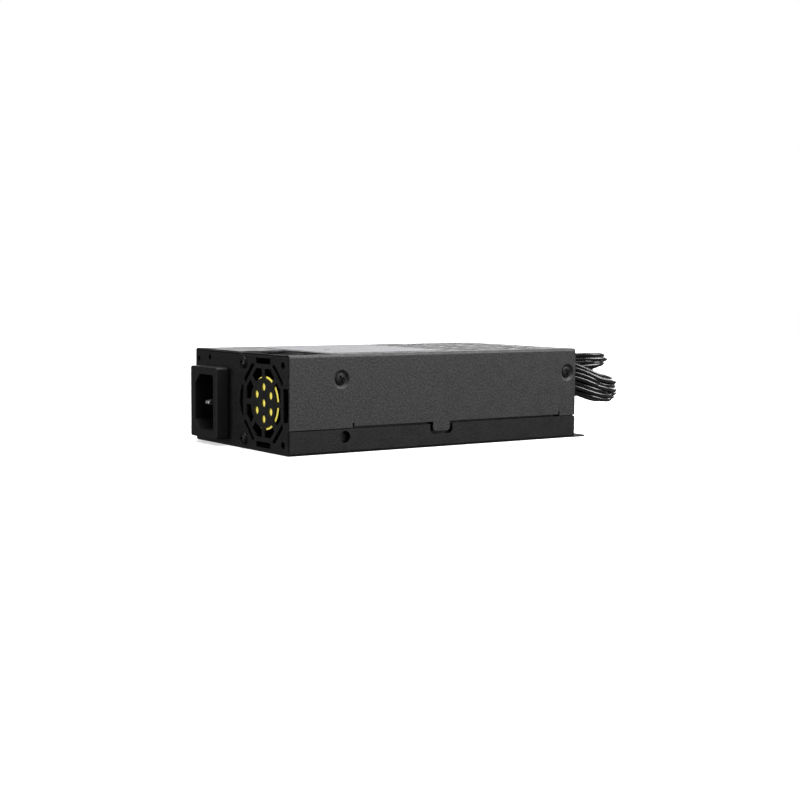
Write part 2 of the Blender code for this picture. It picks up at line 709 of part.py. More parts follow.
def fan_frame():
    low, high = -FAN_SIZE / 2, FAN_SIZE / 2
    middle = (FAN_X + FAN_DEPTH / 2, FAN_Y, FAN_Z)
    square = rounded((low, low), (high, high), 2.4, 3)
    frame = plate("fan_frame", [square], FAN_DEPTH, middle, ACROSS, FAN_BLACK)
    pockets = []
    ends = ((low - 1.0, low + FAN_POCKET), (high - FAN_POCKET, high + 1.0))
    for y0, y1 in ends:
        for z0, z1 in ends:
            corner = (FAN_X + FAN_FLANGE, FAN_Y + y0, FAN_Z + z0)
            pockets.append((corner, (FAN_X + FAN_DEPTH - FAN_FLANGE, FAN_Y + y1, FAN_Z + z1)))
    cut(frame, many_boxes(pockets))
    cut(frame, cutter(cone_mesh(DUCT_RADIUS, DUCT_RADIUS, 30.0, 36), middle, TO_REAR))
    half = FAN_PITCH / 2
    for y in (-half, half):
        for z in (-half, half):
            hole = cone_mesh(FAN_HOLE, FAN_HOLE, 30.0, 12)
            cut(frame, cutter(hole, (middle[0], FAN_Y + y, FAN_Z + z), TO_REAR))
    base = [(0.0, 14.8), (3.8, 14.8), (3.8, 2.6), (HUB_RADIUS, 2.6)]
    base += [(HUB_RADIUS, HUB_FACE), (0.0, HUB_FACE)]
    hub = cutter(turned_mesh(base, 28), (FAN_X, FAN_Y, FAN_Z), TO_REAR)
    cut(hub, cutter(cone_mesh(2.75, 2.75, 14.0, 24), (FAN_X + 10.0, FAN_Y, FAN_Z), TO_REAR))
    reach, wide = STRUT
    for angle in (45.0, 135.0):
        strut = rectangle((-reach, -wide), (reach, wide))
        strut = [polar((0.0, 0.0), angle, along, aside) for along, aside in strut]
        bar = cutter(plate_mesh([strut], STRUT_DEPTH), (FAN_X + 1.6, FAN_Y, FAN_Z), ACROSS)
        unite(frame, bar)
    unite(frame, hub)
    smooth(frame)
    return frame


def blade_mesh():
    """All fan blades as separate curved sheets, each sweeping round the axis from front to rear."""
    work = bmesh.new()
    for number in range(BLADES):
        start = 360.0 / BLADES * number
        rows = []
        for radius, sweep, lean in ((10.3, 33.0, 0.0), (14.2, 36.0, 3.0), (18.05, 38.0, 7.0)):
            row = []
            for step in range(5):
                part = step / 4
                height = -5.4 + 13.0 * part
                angle = start + lean + sweep * (part - 0.22 * math.sin(math.pi * part))
                y, x = polar((0.0, 0.0), angle, radius, 0.0)
                row.append(work.verts.new((x * MM, y * MM, height * MM)))
            rows.append(row)
        for inner, outer in zip(rows, rows[1:]):
            for a, b, c, d in zip(inner, inner[1:], outer[1:], outer):
                work.faces.new((a, b, c, d))
    mesh = bpy.data.meshes.new("blades")
    work.to_mesh(mesh)
    work.free()
    return mesh


def fan_rotor():
    """Hub cup with its blades, open towards the motor base, turning on the fan axis."""
    top = 8.6
    profile = [(1.65, top), (9.8, top), (HUB_RADIUS, top - 1.0), (HUB_RADIUS, -6.4), (9.7, -6.4)]
    profile += [(9.7, top - 1.2), (3.4, top - 1.2), (3.4, top - 2.6), (1.65, top - 2.6)]
    rotor = turned("fan_rotor", profile, (0.0, 0.0, 0.0), ROTOR_BLACK, TO_REAR, 28, FAN_AXIS)
    blades = cutter(blade_mesh(), (0.0, 0.0, 0.0), TO_REAR, FAN_AXIS)
    thick = blades.modifiers.new("thickness", "SOLIDIFY")
    thick.thickness = BLADE_THICKNESS * MM
    thick.offset = 0.0
    bake(blades)
    unite(rotor, blades)
    smooth(rotor)
    return rotor


def fan_inside():
    """Shaft, sleeve bearing and four-pole stator on the fan axis."""
    shaft = [(0.0, 8.3), (SHAFT_RADIUS - 0.3, 8.3), (SHAFT_RADIUS, 8.0), (SHAFT_RADIUS, -6.3), (0.0, -6.5)]
    turned("fan_shaft", shaft, (0.0, 0.0, 0.0), STEEL, TO_REAR, 16, FAN_AXIS)
    sleeve = [(BEARING_BORE, 4.6), (2.55, 4.6), (2.55, -6.8), (BEARING_BORE, -6.8)]
    turned("fan_bearing", sleeve, (0.0, 0.0, 0.0), BRASS, TO_REAR, 16, FAN_AXIS)
    outline = []
    for pole in range(4):
        middle = 90.0 * pole
        outline += [polar((0.0, 0.0), middle, 5.4, -2.0), polar((0.0, 0.0), middle, 7.0, -2.0)]
        outline += arc((0.0, 0.0), 8.9, middle - 34.0, middle + 34.0, 6)
        outline += [polar((0.0, 0.0), middle, 7.0, 2.0)]
    bore = circle((0.0, 0.0), 4.1, 24)
    finish("fan_stator", plate_mesh([outline, bore], 8.0), (-1.5, 0.0, 0.0), COPPER, ACROSS, FAN_AXIS)


def fan_label():
    place = (FAN_X, FAN_Y, FAN_Z)
    return cylinder("fan_label", HUB_RADIUS - 0.1, 0.12, place, LABEL_YELLOW, TO_REAR, 32)


# ---------------------------------------------------------------- tubes, wires and cables

def smooth_route(points, spacing):
    """Evenly spaced points on a smooth curve through the given ones."""
    knots = [Vector(point) for point in points]
    knots = [2 * knots[0] - knots[1]] + knots + [2 * knots[-1] - knots[-2]]
    fine = []
    for a, b, c, d in zip(knots, knots[1:], knots[2:], knots[3:]):
        for step in range(24):
            t = step / 24
            ease = 2 * b + (c - a) * t + (2 * a - 5 * b + 4 * c - d) * t * t
            fine.append((ease + (3 * b - a - 3 * c + d) * t ** 3) / 2)
    fine.append(knots[-2])
    reach = [0.0]
    for first, second in zip(fine, fine[1:]):
        reach.append(reach[-1] + (second - first).length)
    count = max(2, round(reach[-1] / spacing))
    route = []
    index = 0
    for number in range(count + 1):
        goal = reach[-1] * number / count
        while index < len(reach) - 2 and reach[index + 1] < goal:
            index += 1
        share = (goal - reach[index]) / (reach[index + 1] - reach[index])
        route.append(fine[index].lerp(fine[index + 1], share))
    return route


def tube(name, points, diameter, paint, spacing=None):
    """A round tube along a smooth route."""
    curve = bpy.data.curves.new(name, "CURVE")
    curve.dimensions = "3D"
    curve.bevel_depth = diameter / 2 * MM
    curve.bevel_resolution = 2
    curve.use_fill_caps = True
    route = smooth_route(points, spacing or diameter * 2.2)
    spline = curve.splines.new("POLY")
    spline.points.add(len(route) - 1)
    for point, place in zip(spline.points, route):
        point.co = (*(place * MM), 1.0)
    return finish(name, welded(curve), (0.0, 0.0, 0.0), paint)


def inside_wires():
    """Inlet leads from the blades to the board and the fan's lead."""
    landing = PART_Z + 0.9
    paints = (WIRE_BLACK, WIRE_BLUE, WIRE_GREEN)
    landings = (57.0, 61.5, 66.0)
    for name, (y, z), paint, down in zip(("line", "neutral", "earth"), pin_places(), paints, landings):
        start = PIN_TAIL + GAP
        points = [(start, y, z), (start + 3.0, y, z)]
        points += [(28.5, (y + down) / 2, (z + landing) / 2), (31.0, down, landing)]
        tube(f"inlet_wire_{name}", points, 2.2, paint, 3.0)
    fan_points = [(21.6, 37.0, 12.0), (24.0, 37.0, 12.2), (27.0, 37.0, 10.5), (28.5, 37.0, landing)]
    tube("fan_lead", fan_points, 2.0, WIRE_BLACK, 3.0)


def cable_bushing():
    """Plastic ring snapped into the rear panel, through which all output wires leave."""
    corner = OUTLET_RADIUS
    wall = BUSHING_WALL
    brim = BUSHING_FLANGE
    opening = rounded(OUTLET_LOW, OUTLET_HIGH, corner)

    def grown(by):
        low = (OUTLET_LOW[0] - by, OUTLET_LOW[1] - by)
        high = (OUTLET_HIGH[0] + by, OUTLET_HIGH[1] + by)
        return rounded(low, high, corner + by)

    inside = LENGTH - 4.0
    length = BUSHING_REAR - inside
    middle = (inside + length / 2, 0.0, 0.0)
    ring = plate("cable_bushing", [grown(wall)], length, middle, ACROSS, BUSHING_BLACK)
    thick = BUSHING_REAR - LENGTH - GAP
    place = (BUSHING_REAR - thick / 2, 0.0, 0.0)
    rim = cutter(plate_mesh([grown(brim)], thick), place, ACROSS)
    unite(ring, rim)
    return cut(ring, cutter(plate_mesh([opening], 20.0), (LENGTH, 0.0, 0.0), ACROSS))


def plug(name, end, columns, rows, paint):
    """Crimp housing on a cable's end: pin cavities open towards -x, a latch arm on top."""
    pitch = CELL_PITCH
    size = (PLUG_LENGTH, columns * pitch + 2 * PLUG_WALL, rows * pitch + 2 * PLUG_WALL)
    x = end[0] - GAP
    low = (x - size[0], end[1] - size[1] / 2, GAP)
    high = (x, end[1] + size[1] / 2, GAP + size[2])
    body = box(name, low, high, paint)
    reach = min(3.0, size[1] / 2 - 1.0)
    arm = (low[0] + 3.0, end[1] - reach, high[2] - 0.5)
    unite(body, box_cutter(arm, (high[0] - 5.0, end[1] + reach, high[2] + 1.6)))
    cavities = []
    half = CELL_HALF
    for column in range(columns):
        for row in range(rows):
            y = end[1] + (column - (columns - 1) / 2) * pitch
            z = (low[2] + high[2]) / 2 + (row - (rows - 1) / 2) * pitch
            front = (low[0] - 1.0, y - half, z - half)
            cavities.append((front, (low[0] + CELL_DEPTH, y + half, z + half)))
    return cut(body, many_boxes(cavities))


def drive_plug(end):
    """Flat drive plug standing on its edge beside the case, its L-shaped slot open towards -x."""
    x = end[0] - GAP
    half = 2.8
    low = (x - 15.0, end[1] - half, GAP)
    high = (x, end[1] + half, GAP + 23.0)
    body = box("plug_drive", low, high, PLUG_BLACK)
    mouth = low[0] - 1.0
    floor = low[0] + 6.0
    y = end[1]
    slot = [(y - 0.9, 2.2), (y + 1.6, 2.2), (y + 1.6, 3.6), (y + 0.5, 3.6), (y + 0.5, 21.4), (y - 0.9, 21.4)]
    middle = ((mouth + floor) / 2, 0.0, 0.0)
    return cut(body, cutter(plate_mesh([slot], floor - mouth), middle, ACROSS))


def output_cables():
    tube("cable_main_board", ATX_ROUTE, ATX_DIAMETER, CABLE_BLACK)
    tube("cable_processor", CPU_ROUTE, EIGHT_WIRE_DIAMETER, CABLE_BLACK)
    tube("cable_graphics", PCIE_ROUTE, EIGHT_WIRE_DIAMETER, CABLE_BLACK)
    tube("cable_drive", SATA_ROUTE, DRIVE_DIAMETER, CABLE_BLACK)
    plug("plug_main_board", ATX_ROUTE[-1], 12, 2, PLUG_BLACK)
    plug("plug_processor", CPU_ROUTE[-1], 4, 2, PLUG_BLACK)
    plug("plug_graphics", PCIE_ROUTE[-1], 4, 2, PLUG_BLACK)
    drive_plug(SATA_ROUTE[-1])


# ---------------------------------------------------------------- board and what stands on it

def main_board():
    outline = rectangle((BOARD_X[0], BOARD_Y[0]), (BOARD_X[1], BOARD_Y[1]))
    holes = [circle(place, 1.7, 12) for place in BOARD_SCREWS]
    place = (0.0, 0.0, BOARD_Z + BOARD_THICK / 2)
    return plate("main_board", [outline] + holes, BOARD_THICK, place, LEVEL, BOARD_GREEN)


def heat_sink(name, low_x, high_x):
    """Comb of fins along the near side, on a bar that carries the transistors."""
    fins = 9
    outline = [(low_x, 18.5), (low_x, 6.5)]
    step = (high_x - low_x - 1.2) / (fins - 1)
    for number in range(fins):
        x = low_x + step * number
        if number:
            outline += [(x, 15.5), (x, 6.5)]
        outline += [(x + 1.2, 6.5)]
        if number < fins - 1:
            outline += [(x + 1.2, 15.5)]
    outline += [(high_x, 18.5)]
    height = 29.0
    place = (0.0, 0.0, PART_Z + height / 2)
    return plate(name, [outline], height, place, LEVEL, ALUMINIUM)


def can(name, radius, height, x, y, paint):
    """Electrolytic capacitor: a can with a rolled groove near its foot."""
    groove = radius - 0.5
    profile = [(0.0, height), (radius - 0.6, height), (radius, height - 0.6), (radius, 3.2), (groove, 2.7)]
    profile += [(groove, 2.1), (radius, 1.6), (radius, 0.4), (radius - 0.4, 0.0), (0.0, 0.0)]
    return turned(name, profile, (x, y, PART_Z), paint, steps=16)


def choke(name, ring_radius, tube_radius, x, y, paint):
    """A wound ring core lying on the board; windings show as a scalloped section."""
    work = bmesh.new()
    rings = []
    turns = 22
    sides = 6
    for number in range(turns):
        angle = 2 * math.pi * number / turns
        swell = tube_radius * (1.0 if number % 2 else 0.9)
        ring = []
        for side in range(sides):
            turn = 2 * math.pi * (side + 0.5) / sides
            away = ring_radius + swell * math.cos(turn)
            ring.append(work.verts.new((
                away * math.cos(angle) * MM, away * math.sin(angle) * MM, swell * math.sin(turn) * MM)))
        rings.append(ring)
    for number in range(turns):
        here, there = rings[number], rings[(number + 1) % turns]
        for side in range(sides):
            after = (side + 1) % sides
            work.faces.new((here[side], there[side], there[after], here[after]))
    made = finish(name, mesh_from(work), (x, y, PART_Z + tube_radius), paint)
    smooth(made, 50.0)
    return made


def main_transformer():
    x, y = 79.0, 35.0
    middle = PART_Z + 12.3
    core = rectangle((-14.0, -12.0), (14.0, 12.0))
    windows = [rectangle((-10.0, -8.0), (-4.0, 8.0)), rectangle((4.0, -8.0), (10.0, 8.0))]
    plate("transformer_core", [core] + windows, 10.0, (x, y, middle), ALONG, FERRITE)
    coil = rounded((-9.6, -9.0), (9.6, 9.0), 2.0, 2)
    hole = rectangle((-4.35, -5.35), (4.35, 5.35))
    plate("transformer_winding", [coil, hole], 15.2, (x, y, middle), LEVEL, COIL_TAPE)


def standby_transformer():
    """Small bobbin transformer with two flanges."""
    profile = [(0.0, 14.0), (7.0, 14.0), (7.0, 12.4), (5.6, 12.4)]
    profile += [(5.6, 2.4), (7.0, 2.4), (7.0, 0.0), (0.0, 0.0)]
    return turned("standby_transformer", profile, (103.5, 36.0, PART_Z), COIL_TAPE, steps=20)


def chip(name, low_x, paint):
    """A three-lead power device flat against a heat sink, its tab above its body."""
    made = box(name, (low_x, 18.9, PART_Z + 5.0), (low_x + 10.0, 23.2, PART_Z + 15.0), paint)
    unite(made, box_cutter((low_x, 18.9, PART_Z + 14.0), (low_x + 10.0, 20.2, PART_Z + 20.0)))
    for lead in (1.8, 4.6, 7.4):
        unite(made, box_cutter((low_x + lead, 20.6, PART_Z + 0.1), (low_x + lead + 0.8, 21.2, PART_Z + 6.0)))
    return made


def board_parts():
    heat_sink("heat_sink_primary", 36.0, 84.0)
    heat_sink("heat_sink_output", 90.0, 132.0)
    chip("switching_transistor", 62.0, CHIP_BLACK)
    chip("output_rectifier", 104.0, CHIP_BLACK)
    can("bulk_capacitor", 9.0, 29.0, 45.0, 34.0, CAN_BLUE)
    can("output_capacitor_1", 5.0, 20.0, 118.0, 34.0, CAN_GREEN)
    can("output_capacitor_2", 5.0, 20.0, 130.0, 34.0, CAN_GREEN)
    choke("filter_choke", 8.0, 4.0, 46.0, 57.5, COPPER)
    choke("boost_choke", 9.0, 5.0, 93.0, 60.0, COPPER)
    choke("output_choke", 8.0, 4.0, 123.0, 60.0, COPPER)
    fuse_profile = [(0.0, 10.0), (2.6, 10.0), (2.6, 5.0), (2.3, 4.6)]
    fuse_profile += [(radius, -height) for radius, height in reversed(fuse_profile)]
    turned("fuse", fuse_profile, (46.0, 73.6, PART_Z + 3.0), FUSE_CLAY, TO_REAR, 16)
    box("filter_capacitor", (61.5, 50.0, PART_Z), (69.0, 70.0, PART_Z + 15.0), FILM_YELLOW)
    box("bridge_rectifier", (71.5, 50.0, PART_Z), (75.0, 70.0, PART_Z + 18.0), CHIP_BLACK)
    box("control_board", (108.5, 45.0, PART_Z), (109.7, 75.0, PART_Z + 20.0), BOARD_GREEN)


# ---------------------------------------------------------------- assembly

for old in list(bpy.data.objects):
    bpy.data.objects.remove(old)

PARTS = collection("power_supply_unit")
CUTTERS = collection("cutters")
MIDDLE_X = (LENGTH + EAR_LENGTH - INLET_STAND_OUT) / 2
CASE = empty("case_origin", (-MIDDLE_X, -WIDTH / 2, 0.0))
FAN_AXIS = empty("fan_axis", (FAN_X + FAN_DEPTH / 2, FAN_Y, FAN_Z), CASE)

BLACK_PAINT = material("black_paint", (0.045, 0.045, 0.047), 0.55)
SCREW_BLACK = material("screw_black", (0.03, 0.03, 0.032), 0.35, 0.8)
STEEL = material("steel", (0.62, 0.62, 0.63), 0.3, 1.0)
BRASS = material("brass", (0.72, 0.56, 0.27), 0.35, 1.0)
BRIGHT_METAL = material("bright_metal", (0.82, 0.82, 0.83), 0.22, 1.0)
ALUMINIUM = material("aluminium", (0.75, 0.76, 0.77), 0.4, 1.0)
INLET_BLACK = material("inlet_black", (0.02, 0.02, 0.021), 0.4)
FAN_BLACK = material("fan_black", (0.016, 0.016, 0.017), 0.45)
ROTOR_BLACK = material("rotor_black", (0.02, 0.02, 0.021), 0.4)
BUSHING_BLACK = material("bushing_black", (0.02, 0.02, 0.02), 0.5)
CABLE_BLACK = material("cable_black", (0.014, 0.014, 0.015), 0.35)
PLUG_BLACK = material("plug_black", (0.02, 0.02, 0.021), 0.42)
LABEL_YELLOW = material("label_yellow", (0.87, 0.75, 0.13), 0.5)
LABEL_GREY = material("label_grey", (0.5, 0.5, 0.52), 0.4)
BLACK_FILM = material("black_film", (0.02, 0.02, 0.021), 0.4)
BOARD_GREEN = material("board_green", (0.03, 0.16, 0.07), 0.45)
COPPER = material("copper", (0.72, 0.34, 0.16), 0.35, 0.9)
FERRITE = material("ferrite", (0.05, 0.05, 0.055), 0.6)
COIL_TAPE = material("coil_tape", (0.75, 0.6, 0.15), 0.45)
CAN_BLUE = material("can_blue", (0.02, 0.03, 0.09), 0.35)
CAN_GREEN = material("can_green", (0.03, 0.05, 0.03), 0.35)
CHIP_BLACK = material("chip_black", (0.025, 0.025, 0.027), 0.5)
FUSE_CLAY = material("fuse_clay", (0.75, 0.72, 0.66), 0.5)
FILM_YELLOW = material("film_yellow", (0.72, 0.6, 0.16), 0.4)
WIRE_BLACK = material("wire_black", (0.02, 0.02, 0.02), 0.4)
WIRE_BLUE = material("wire_blue", (0.03, 0.1, 0.4), 0.4)
WIRE_GREEN = material("wire_green", (0.1, 0.4, 0.08), 0.4)

base_tray()
top_cover()
insulation_sheet()
rating_label()
cover_screws()
fan_screws()
board_hardware()
inlet_housing()
inlet_pins()
fan_frame()
fan_rotor()
fan_inside()
fan_label()
inside_wires()
cable_bushing()
output_cables()
main_board()
main_transformer()
standby_transformer()
board_parts()
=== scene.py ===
"""Looks of a Flex ATX power supply unit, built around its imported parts.

Lengths are millimetres in the case frame: x runs from the front panel (mains inlet, fan) to the rear panel
(cables), y from the near long side to the far one and z up from the table. TO_FRAME turns a shape drawn
in millimetres into metres of the shared frame.
"""

import math
import random
from collections import namedtuple

import bmesh
import bpy
from mathutils import Matrix, Vector


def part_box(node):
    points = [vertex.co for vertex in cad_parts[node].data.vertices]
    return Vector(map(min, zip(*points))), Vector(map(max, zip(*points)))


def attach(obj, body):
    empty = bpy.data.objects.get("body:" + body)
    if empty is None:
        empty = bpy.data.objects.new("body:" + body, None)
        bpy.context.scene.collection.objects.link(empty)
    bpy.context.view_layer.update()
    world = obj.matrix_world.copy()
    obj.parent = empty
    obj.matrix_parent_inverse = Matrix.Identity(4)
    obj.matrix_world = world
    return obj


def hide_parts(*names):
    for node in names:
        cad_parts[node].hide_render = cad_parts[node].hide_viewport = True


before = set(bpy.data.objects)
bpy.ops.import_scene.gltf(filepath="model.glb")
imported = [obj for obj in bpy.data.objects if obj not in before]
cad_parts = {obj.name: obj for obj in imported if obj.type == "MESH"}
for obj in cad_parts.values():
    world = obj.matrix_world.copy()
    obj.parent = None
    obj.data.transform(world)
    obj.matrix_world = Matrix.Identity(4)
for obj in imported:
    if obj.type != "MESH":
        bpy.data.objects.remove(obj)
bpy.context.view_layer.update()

MM = 0.001
COVER_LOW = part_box("top_cover")[0]
TO_FRAME = Matrix.Translation((COVER_LOW.x, COVER_LOW.y, 0.0)) @ Matrix.Scale(MM, 4)
TO_CASE = TO_FRAME.inverted()
AXIS_X, AXIS_Y, AXIS_Z = (1, 0, 0), (0, 1, 0), (0, 0, 1)


def span(node):
    """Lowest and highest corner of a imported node, in millimetres of the case frame."""
    low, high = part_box(node)
    return TO_CASE @ low, TO_CASE @ high


# Case: sheet, heights of its edges, and places as (x, z) on the sides or (x, y) on the top and the board
LENGTH, WIDTH, HEIGHT = span("top_cover")[1]
SHEET = 0.8
BEND = 1.3
STRIP_TOP = 9.9
COVER_BOTTOM = 10.3
COVER_MIDDLE_BOTTOM = 10.9
PANEL_BOTTOM, PANEL_TOP = 0.3, 39.4
TONGUE_Y = SHEET + 0.3
EDGE = 0.3
COVER_SCREWS = ((24.3, 30.3), (145.2, 29.8))
FAN_WELL = (21.5, 1.3, 42.0)  # rear end x, near and far y of the cover's cut-out over the fan
STRIP_HOLE = (26.1, 6.7)
STRIP_HOLE_RADIUS = 2.5
NOTCH_X = (68.9, 80.6)
TAB_X = (70.4, 79.2)
TAB_RADIUS = 1.5
STEP_X = (30.5, 140.2)  # where the cover's lower edge steps, beside a slit
SLIT = 0.8
LABEL_HOLE = (38.1, 33.7)
INLET_PINS = ("line", "neutral", "earth")
BOARD_TOP = span("main_board")[1].z
BOARD_SCREWS = ((28.0, 8.0), (28.0, 73.5), (142.5, 8.0), (142.5, 73.5))

# Fan
FAN_LOW, FAN_HIGH = span("fan_frame")
FAN_MIDDLE = (FAN_LOW + FAN_HIGH) / 2
FAN_SIZE = FAN_HIGH.y - FAN_LOW.y
FAN_PITCH = 32.0
DUCT_RADIUS = 18.6
HUB_RADIUS = 11.1
BLADES = 7

# Wires
WIRE = 2.1
SPACING = 2.5
REPACK_START, REPACK_LENGTH = 12.0, 75.0  # where a bundle's wires go from leaving rows to lying rows
WANDER, WANDER_START = 0.3, 30.0
WAVE_LENGTHS = (34.0, 60.0)
CELL_PITCH = 4.2
BUSHING_REAR = span("cable_bushing")[1].x
CABLE_START = BUSHING_REAR + 0.3

# Cord routes, as the cables' own solids have them
ATX_ROUTE = (
    (CABLE_START, 25.0, 26.2), (161.0, 24.7, 25.6), (173.0, 24.7, 22.8), (187.0, 27.5, 19.4),
    (202.0, 35.5, 17.8), (214.5, 48.5, 17.8), (220.3, 65.0, 18.4), (219.8, 80.0, 16.8), (213.5, 94.0, 12.0),
    (203.0, 107.0, 8.0), (188.0, 119.0, 6.2), (171.0, 131.0, 6.1), (154.0, 145.0, 6.1),
    (134.0, 155.5, 6.1), (114.0, 155.0, 6.1), (97.0, 149.5, 6.1), (84.0, 148.5, 6.1),
    (70.0, 148.5, 6.1),
)
CPU_ROUTE = (
    (CABLE_START, 34.5, 33.6), (168.0, 34.5, 33.7), (188.0, 35.5, 33.6), (203.0, 41.5, 33.2),
    (212.5, 53.5, 31.6), (214.0, 69.0, 27.0), (208.0, 84.0, 19.0), (197.5, 95.5, 10.5),
    (184.0, 103.0, 4.8), (168.0, 106.0, 3.7), (148.0, 107.0, 3.7), (125.0, 109.5, 3.7),
    (103.0, 114.0, 3.7), (80.0, 116.5, 3.7), (45.0, 116.5, 3.7),
)
PCIE_ROUTE = (
    (CABLE_START, 34.5, 26.4), (168.0, 34.5, 26.4), (185.0, 37.6, 26.5), (198.0, 43.8, 25.4),
    (206.0, 54.0, 22.8), (206.5, 67.5, 18.0), (201.0, 80.0, 12.0), (191.0, 89.5, 6.4),
    (178.0, 94.5, 3.9), (162.0, 95.5, 3.7), (140.0, 95.5, 3.7), (110.0, 96.0, 3.7),
    (80.0, 98.0, 3.7), (35.0, 98.0, 3.7),
)
SATA_ROUTE = (
    (CABLE_START, 34.5, 19.8), (165.0, 34.6, 19.8), (178.0, 36.0, 19.4), (190.0, 42.0, 18.8),
    (198.0, 52.0, 17.4), (199.8, 63.5, 13.6), (195.0, 74.5, 7.6), (186.0, 82.0, 4.2),
    (174.0, 85.4, 3.1), (155.0, 86.0, 3.1), (120.0, 85.3, 3.1), (90.0, 85.3, 4.4),
    (65.0, 85.3, 9.0), (46.0, 85.3, 11.6), (29.0, 85.3, 11.8),
)


# ---------------------------------------------------------------- camera, floor and light

LENS_LENGTH = 65.08
EYE_PLACE = (-289.6, -494.0, 67.6)
EYE_TURN = (-34.754, 85.545, 0.381)  # yaw, tilt up from straight down, roll, in degrees
CASE_MIDDLE = (75.0, 40.0, 20.0)
WIRES_MIDDLE = (180.0, 30.0, 25.0)
LIGHTS = (
    # name, place, the point that it faces, size in metres, watts
    ("overhead", (150.0, -60.0, 900.0), CASE_MIDDLE, (0.9, 0.9), 16.0),
    ("backdrop", (800.0, 1150.0, 260.0), CASE_MIDDLE, (1.6, 0.42), 7.5),
    ("side_fill", (260.0, -900.0, 330.0), CASE_MIDDLE, (1.0, 0.6), 4.0),
    ("front_fill", (-900.0, 260.0, 120.0), CASE_MIDDLE, (0.5, 0.5), 4.0),
    ("rim", (605.0, -590.0, 500.0), CASE_MIDDLE, (0.25, 0.25), 5.0),
    ("wire_rim", (1000.0, -30.0, 330.0), WIRES_MIDDLE, (0.25, 0.45), 3.0),
)
FLOOR_RADIUS = 1.25


def camera():
    """A long lens a little above the case, looking at its front corner and near side."""
    lens = bpy.data.cameras.new("camera")
    lens.lens = LENS_LENGTH
    lens.sensor_width = 36.0
    lens.clip_start = 0.01
    eye = bpy.data.objects.new("camera", lens)
    bpy.context.scene.collection.objects.link(eye)
    eye.location = TO_FRAME @ Vector(EYE_PLACE)
    yaw, pitch, roll = (math.radians(angle) for angle in EYE_TURN)
    turn = Matrix.Rotation(yaw, 4, "Z") @ Matrix.Rotation(pitch, 4, "X") @ Matrix.Rotation(roll, 4, "Z")
    eye.rotation_euler = turn.to_euler()
    bpy.context.scene.camera = eye


def soft_light(name, place, aim, size, power):
    """A softbox that faces a point of the case frame."""
    lamp = bpy.data.lights.new(name, "AREA")
    lamp.shape = "RECTANGLE"
    lamp.size, lamp.size_y = size
    lamp.energy = power
    made = bpy.data.objects.new(name, lamp)
    bpy.context.scene.collection.objects.link(made)
    made.location = TO_FRAME @ Vector(place)
    toward = TO_FRAME @ Vector(aim) - made.location
    made.rotation_euler = toward.to_track_quat("-Z", "Y").to_euler()
    made.visible_camera = False


def world_light():
    """Surroundings that the camera sees white, though they light the object only a little."""
    world = bpy.data.worlds.new("studio")
    bpy.context.scene.world = world
    world.use_nodes = True
    tree = world.node_tree
    seen = tree.nodes.new("ShaderNodeBackground")
    dim = tree.nodes["Background"]
    for background, strength in ((seen, 1.0), (dim, 0.1)):
        background.inputs["Color"].default_value = (1.0, 1.0, 1.0, 1.0)
        background.inputs["Strength"].default_value = strength
    path = tree.nodes.new("ShaderNodeLightPath")
    mix = tree.nodes.new("ShaderNodeMixShader")
    tree.links.new(path.outputs["Is Camera Ray"], mix.inputs[0])
    tree.links.new(dim.outputs[0], mix.inputs[1])
    tree.links.new(seen.outputs[0], mix.inputs[2])
    tree.links.new(mix.outputs[0], tree.nodes["World Output"].inputs["Surface"])


def studio():
    """Pale floor and surroundings, with the softboxes."""
    bpy.context.scene.view_settings.view_transform = "Standard"
    world_light()
    for light in LIGHTS:
        soft_light(*light)
    work = bmesh.new()
    bmesh.ops.create_circle(work, cap_ends=True, segments=96, radius=FLOOR_RADIUS)
    floor = object_of("studio_floor", work)
    floor.data.materials.append(floor_paint())
    floor.visible_glossy = False
    floor.visible_diffuse = False


# ---------------------------------------------------------------- shape helpers, in millimetres

def object_of(name, work):
    """A new object from a bmesh, which is used up."""
    mesh = bpy.data.meshes.new(name)
    work.to_mesh(mesh)
    work.free()
    made = bpy.data.objects.new(name, mesh)
    bpy.context.scene.collection.objects.link(made)
    return made


def level(u, v, w):
    return (u, v, w)


def across(u, v, w):
    return (w, u, v)


def along(u, v, w):
    return (u, w, v)


def sew(work, first, second, closed=True):
    """Four-sided faces between two rows of vertices, and round to the start again where they are closed."""
    faces = []
    for number in range(len(first) if closed else len(first) - 1):
        after = (number + 1) % len(first)
        faces.append(work.faces.new((first[number], first[after], second[after], second[number])))
    return faces


def prism(outline, low, high, plane=level, scale_high=1.0):
    """A flat outline (u, v) extruded from low to high, square to its plane, and scaled at the high end."""
    work = bmesh.new()
    add_prism(work, outline, low, high, plane, scale_high)
    return object_of("prism", work)


def add_prism(work, outline, low, high, plane=level, scale_high=1.0):
    here = [work.verts.new(plane(u, v, low)) for u, v in outline]
    there = [work.verts.new(plane(u * scale_high, v * scale_high, high)) for u, v in outline]
    faces = [work.faces.new(here), work.faces.new(there), *sew(work, here, there)]
    bmesh.ops.recalc_face_normals(work, faces=faces)


def prisms(outlines, low, high, plane=level):
    """Several separate prisms in one object."""
    work = bmesh.new()
    for outline in outlines:
        add_prism(work, outline, low, high, plane)
    return object_of("prisms", work)


def boxes(corners):
    work = bmesh.new()
    for low, high in corners:
        outline = rectangle((low[0], low[1]), (high[0], high[1]))
        add_prism(work, outline, low[2], high[2])
    return object_of("boxes", work)


def box(low, high):
    return boxes([(low, high)])


